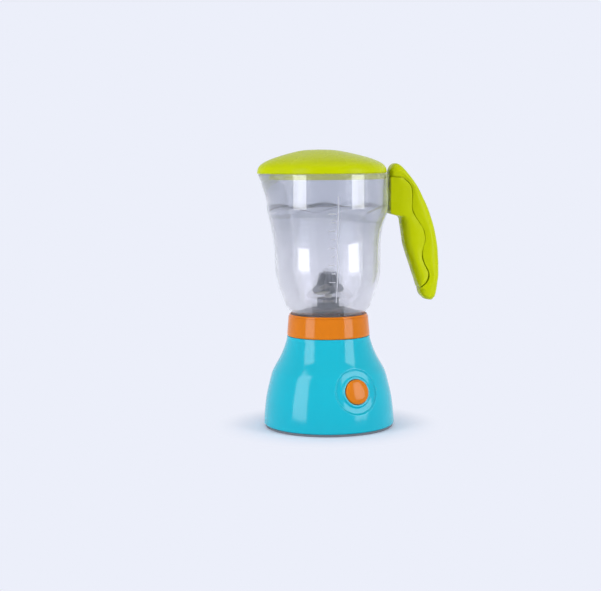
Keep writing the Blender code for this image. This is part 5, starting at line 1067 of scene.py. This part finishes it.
class TOYBLENDER_OT_finishes(bpy.types.Operator):
    """Make the materials, each started from the real one, and put them on the solids that stay"""

    bl_idname = "toy_blender.finishes"
    bl_label = "Finishes"

    def execute(self, context):
        tint = settings("colours")
        # Injection-moulded ABS from a polished mould: an even gloss, faint flow drift and a slight orange peel
        for name, rough, level in (("turquoise", 0.1, 0.28), ("lime", 0.26, 0.08), ("orange", 0.1, 0.22)):
            colour_value = getattr(tint, name)
            surface("moulded_abs_" + name, colour_value, rough, 0.025, 2.2, 0.003, specular_ior_level=level)
        # The same ABS in the lid's thin skirt, a little see-through, in a lime painted paler than the dome's: painted
        # light, for the light that comes through it
        thin = {"transmission_weight": 0.1, "alpha": 0.65}
        surface("moulded_abs_lime_thin_painted_light", "F6FA6C", 0.25, 0.04, 2.2, 0.004, **thin)
        # ABS from an etched mould: fine grain, drawn at 0.7 mm so that it shows, and a satin sheen
        surface("grained_abs_charcoal", tint.charcoal, 0.5, 0.16, 0.7, 0.03, specular_ior_level=0.2)
        # Styrene-acrylonitrile: water clear, hard and glossy, with faint sinks from the mould
        clear = {"transmission_weight": 1.0, "ior": 1.5, "specular_ior_level": 1.0, "coat_weight": 0.5, "alpha": 0.75}
        wall = surface("clear_styrene", tint.clear, 0.015, 0.03, 16.0, 0.02, tone=0.02, **clear)
        # The jug's colour is painted paler towards the collar, as painted light
        painted_light_below(wall, tint.clear_low_painted_light, COLLAR_HIGH, RIM_Z - SHOULDER_BAND)
        # The same plastic where the wall is thickest, at the moulded shoulder, in a grey that is painted shade: it
        # stands in for the light that bends away there
        thick = {"transmission_weight": 0.5, "ior": 1.5, "alpha": 0.6}
        surface("clear_styrene_thick_painted_shade", "7C808E", 0.06, 0.05, 2.0, 0.05, **thick)
        # The same plastic over an etched patch of the mould: it scatters light and reads as a pale line
        surface("frosted_styrene", "F0F0F6", 0.35, 0.1, 0.5, 0.02, tone=0.0, transmission_weight=0.6, ior=1.5)
        # Acetal for gears and bushes: milky, slightly waxy
        surface("natural_acetal", tint.natural, 0.36, 0.12, 1.2, 0.01, ior=1.48, subsurface_weight=0.08)
        # Cast epoxy of a diffused lamp: milky, and smooth from its mould
        surface("milky_epoxy", "F2F0E8", 0.2, 0.08, 2.0, 0.004, ior=1.5, transmission_weight=0.3)
        # Plain black ABS and PVC insulation
        surface("black_abs", tint.black, 0.38, 0.12, 0.8, 0.02, ior=1.5)
        surface("red_pvc", "A81E1E", 0.45, 0.1, 0.6, 0.01, ior=1.5)
        # Zinc-plated steel: a greyish metal with cloudy roughness from the plating bath
        surface("zinc_plated_steel", tint.steel, 0.28, 0.2, 3.0, 0.01, tone=0.1, smudge_mm=6.0, metallic=1.0)
        # Glass-epoxy board under green solder mask: glossy, with the weave just showing at 0.9 mm
        surface("solder_mask_green", "1F6B3A", 0.25, 0.1, 0.9, 0.02, ior=1.5)
        # Pressed paper of the speaker's cone: matt and fibrous
        surface("pressed_paper", "4A4540", 0.85, 0.1, 0.9, 0.06, ior=1.4)
        # Shrink film over the cells: dark, glossy, a little uneven
        surface("shrink_film_blue", "2F4858", 0.22, 0.12, 5.0, 0.02, ior=1.5)
        by_slot = {
            "teal_plastic": "moulded_abs_turquoise",
            "lime_plastic": "moulded_abs_lime",
            "orange_plastic": "moulded_abs_orange",
            "dark_plastic": "grained_abs_charcoal",
            "clear_plastic": "clear_styrene",
            "white_nylon": "natural_acetal",
            "black_plastic": "black_abs",
            "red_insulation": "red_pvc",
            "zinc_steel": "zinc_plated_steel",
            "circuit_green": "solder_mask_green",
            "cone_paper": "pressed_paper",
            "cell_jacket": "shrink_film_blue",
        }
        for part in frame["record"]["subparts"]:
            for place in frame["nodes"][part["node"]].material_slots:
                place.material = bpy.data.materials[by_slot[part["material_slot"]]]
        return {"FINISHED"}


class TOYBLENDER_OT_cells(bpy.types.Operator):
    """Turn the two round cells with their crimped ends and nubs"""

    bl_idname = "toy_blender.cells"
    bl_label = "Cells"

    def execute(self, context):
        low, high = (np.array(corner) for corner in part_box("battery_1"))
        own = (high - low)[2] / 2
        half = ((high - low)[1] - 2 * own * math.sin(BASE_TURN)) / math.cos(BASE_TURN) / 2

        def shape(rows):
            corners = [
                (own if radius is None else radius * MM, end * (half - inset * MM), fillet)
                for radius, end, inset, fillet in rows
            ]
            return turned(filleted(corners), ring_angles(96))

        for number, side in ((1, -1), (2, 1)):
            centre = sum(np.array(corner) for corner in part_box(f"battery_{number}")) / 2
            way = (BUTTON_ACROSS, UP * side, BASE_BACK * side, centre)
            film = skin(placed(shape(CELL_FILM_MM), *way), loop_rows=True)
            metal = [skin(placed(shape(rows), *way)) for rows in (CELL_NUB_MM, CELL_CAP_MM)]
            piece(f"cell_film_{number}", [film], "shrink_film_blue", "base", [f"battery_{number}"])
            piece(f"cell_ends_{number}", metal, "zinc_plated_steel", "base")
        return {"FINISHED"}


class TOYBLENDER_OT_stage(bpy.types.Operator):
    """Set the floor, the softboxes, the light from all round and the camera"""

    bl_idname = "toy_blender.stage"
    bl_label = "Stage"

    def execute(self, context):
        stage = settings("stage")
        scene = context.scene
        pale = tuple(stage.backdrop)
        self.floor(pale)
        self.world(scene, stage, pale)
        for name, degrees, width in SOFTBOXES:
            turn = math.radians(degrees)
            place = (SOFTBOX_AWAY * math.sin(turn), -SOFTBOX_AWAY * math.cos(turn), SOFTBOX_Z)
            self.softbox(name, place, (QUARTER, 0, turn), width, SOFTBOX_TALL, stage.softbox)
        self.softbox("softbox_top", OVERHEAD_AT, (OVERHEAD_TILT, 0, 0), *OVERHEAD_SIZE, stage.overhead)
        view = bpy.data.cameras.new("photo_view")
        view.lens = stage.lens_mm
        view.sensor_width = SENSOR_MM
        camera = bpy.data.objects.new("photo_view", view)
        away, azimuth = stage.distance, stage.azimuth
        camera.location = (away * math.sin(azimuth), -away * math.cos(azimuth), stage.height)
        camera.rotation_euler = (QUARTER - stage.tilt, stage.roll, azimuth + stage.aim)
        scene.collection.objects.link(camera)
        scene.camera = camera
        scene.view_settings.view_transform = "Standard"
        return {"FINISHED"}

    def floor(self, pale):
        """A wide round sheet just under the object: rings at a few radii, turned about Z."""
        profile = np.array([(radius, -FLOOR_DROP) for radius in FLOOR_RADII])
        points, quads = skin(turned(profile, ring_angles(64)))
        mesh = bpy.data.meshes.new("floor")
        mesh.from_pydata(points.tolist(), [], quads.tolist())
        made = bpy.data.objects.new("floor", mesh)
        bpy.context.collection.objects.link(made)
        paper = surface("studio_paper", pale, 0.6, 0.1, 1.5, 0.01, tone=0.0, ior=1.3)
        self.fade(paper, pale)
        mesh.materials.append(paper)

    def fade(self, paper, pale):
        """Paper that takes the object's shadow close by and turns into the backdrop's colour further out, for what
        is seen straight, mirrored or through the clear jug. It starts at half of the object's own reach."""
        start, end = (share * cad_box[1][0] for share in FADE_SHARES)
        place = add_node(paper, "ShaderNodeTexCoord").outputs["Object"]
        away = add_node(paper, "ShaderNodeVectorMath", {"operation": "LENGTH"}, {"Vector": place}).outputs["Value"]
        rise = {"interpolation_type": "SMOOTHSTEP", "From Min": start, "From Max": end, "To Max": 1.0}
        share = add_node(paper, "ShaderNodeMapRange", rise, {"Value": away}).outputs["Result"]
        both = add_node(paper, "ShaderNodeMath", {"operation": "MULTIPLY"}, {0: share, 1: self.seen(paper)})
        even = add_node(paper, "ShaderNodeEmission", {"Color": (*pale, 1), "Strength": 1.0})
        lit = paper.node_tree.nodes["Principled BSDF"]
        shaders = {0: both.outputs[0], 1: lit.outputs[0], 2: even.outputs[0]}
        mix = add_node(paper, "ShaderNodeMixShader", links=shaders)
        paper.node_tree.links.new(mix.outputs[0], paper.node_tree.nodes["Material Output"].inputs["Surface"])

    def seen(self, owner):
        """1 for what is seen straight, through clear plastic or as a reflection, else 0."""
        path = add_node(owner, "ShaderNodeLightPath").outputs
        most = path["Is Camera Ray"]
        for name in ("Is Transmission Ray", "Is Glossy Ray"):
            most = add_node(owner, "ShaderNodeMath", {"operation": "MAXIMUM"}, {0: most, 1: path[name]}).outputs[0]
        return most

    def world(self, scene, stage, pale):
        """The backdrop's colour for what is seen straight, mirrored or through glass. Otherwise an even light, which
        grows from the front to the back, where no softbox stands."""
        world = bpy.data.worlds.new("studio")
        scene.world = world
        world.use_nodes = True
        back = world.node_tree.nodes["Background"]
        back.inputs["Color"].default_value = (*pale, 1)
        way = add_node(world, "ShaderNodeTexCoord").outputs["Generated"]
        depth = add_node(world, "ShaderNodeSeparateXYZ", links={"Vector": way}).outputs["Y"]
        start, end = GROW_DEPTHS
        spread = {"From Min": start, "From Max": end, "To Min": stage.fill, "To Max": stage.back_fill}
        even = add_node(world, "ShaderNodeMapRange", spread, {"Value": depth}).outputs["Result"]
        strength = add_node(world, "ShaderNodeMath", {"operation": "MAXIMUM"}, {0: even, 1: self.seen(world)})
        world.node_tree.links.new(strength.outputs[0], back.inputs["Strength"])

    def softbox(self, name, place, turn, width, tall, radiance):
        """An area light. Its power is its radiance times pi times its area."""
        light = bpy.data.lights.new(name, "AREA")
        light.shape = "RECTANGLE"
        light.size, light.size_y = width, tall
        light.energy = radiance * math.pi * width * tall
        made = bpy.data.objects.new(name, light)
        made.location, made.rotation_euler = place, turn
        bpy.context.collection.objects.link(made)


class TOYBLENDER_PT_panel(bpy.types.Panel):
    """The sizes and colours, and a button for each group of pieces"""

    bl_label = "Toy Blender"
    bl_idname = "TOYBLENDER_PT_panel"
    bl_space_type = "VIEW_3D"
    bl_region_type = "UI"
    bl_category = "Toy Blender"

    def draw(self, context):
        for name in GROUPS:
            box = self.layout.box()
            box.label(text=name.title())
            group = settings(name)
            for key in group.bl_rna.properties.keys():
                if key not in ("rna_type", "name"):
                    box.prop(group, key)
        for made in OPERATORS:
            self.layout.operator(made.bl_idname)


GROUPS = {
    "base": BaseSizes,
    "jug": JugSizes,
    "lid": LidSizes,
    "handle": HandleSizes,
    "stirrer": StirrerSizes,
    "colours": Colours,
    "stage": StageSettings,
}
OPERATORS = (
    TOYBLENDER_OT_finishes,
    TOYBLENDER_OT_base,
    TOYBLENDER_OT_collar,
    TOYBLENDER_OT_jug,
    TOYBLENDER_OT_lid,
    TOYBLENDER_OT_handle,
    TOYBLENDER_OT_stirrer,
    TOYBLENDER_OT_cells,
    TOYBLENDER_OT_stage,
)


def register():
    for made in (*GROUPS.values(), *OPERATORS, TOYBLENDER_PT_panel):
        bpy.utils.register_class(made)
    for name, made in GROUPS.items():
        setattr(bpy.types.Scene, "toy_blender_" + name, bpy.props.PointerProperty(type=made))


def unregister():
    for name in GROUPS:
        delattr(bpy.types.Scene, "toy_blender_" + name)
    for made in (TOYBLENDER_PT_panel, *OPERATORS, *GROUPS.values()):
        bpy.utils.unregister_class(made)


def main():
    register()
    bpy.ops.toy_blender.finishes()
    bpy.ops.toy_blender.base()
    bpy.ops.toy_blender.collar()
    bpy.ops.toy_blender.jug()
    bpy.ops.toy_blender.lid()
    bpy.ops.toy_blender.handle()
    bpy.ops.toy_blender.stirrer()
    bpy.ops.toy_blender.cells()
    bpy.ops.toy_blender.stage()


if __name__ == "__main__":
    main()
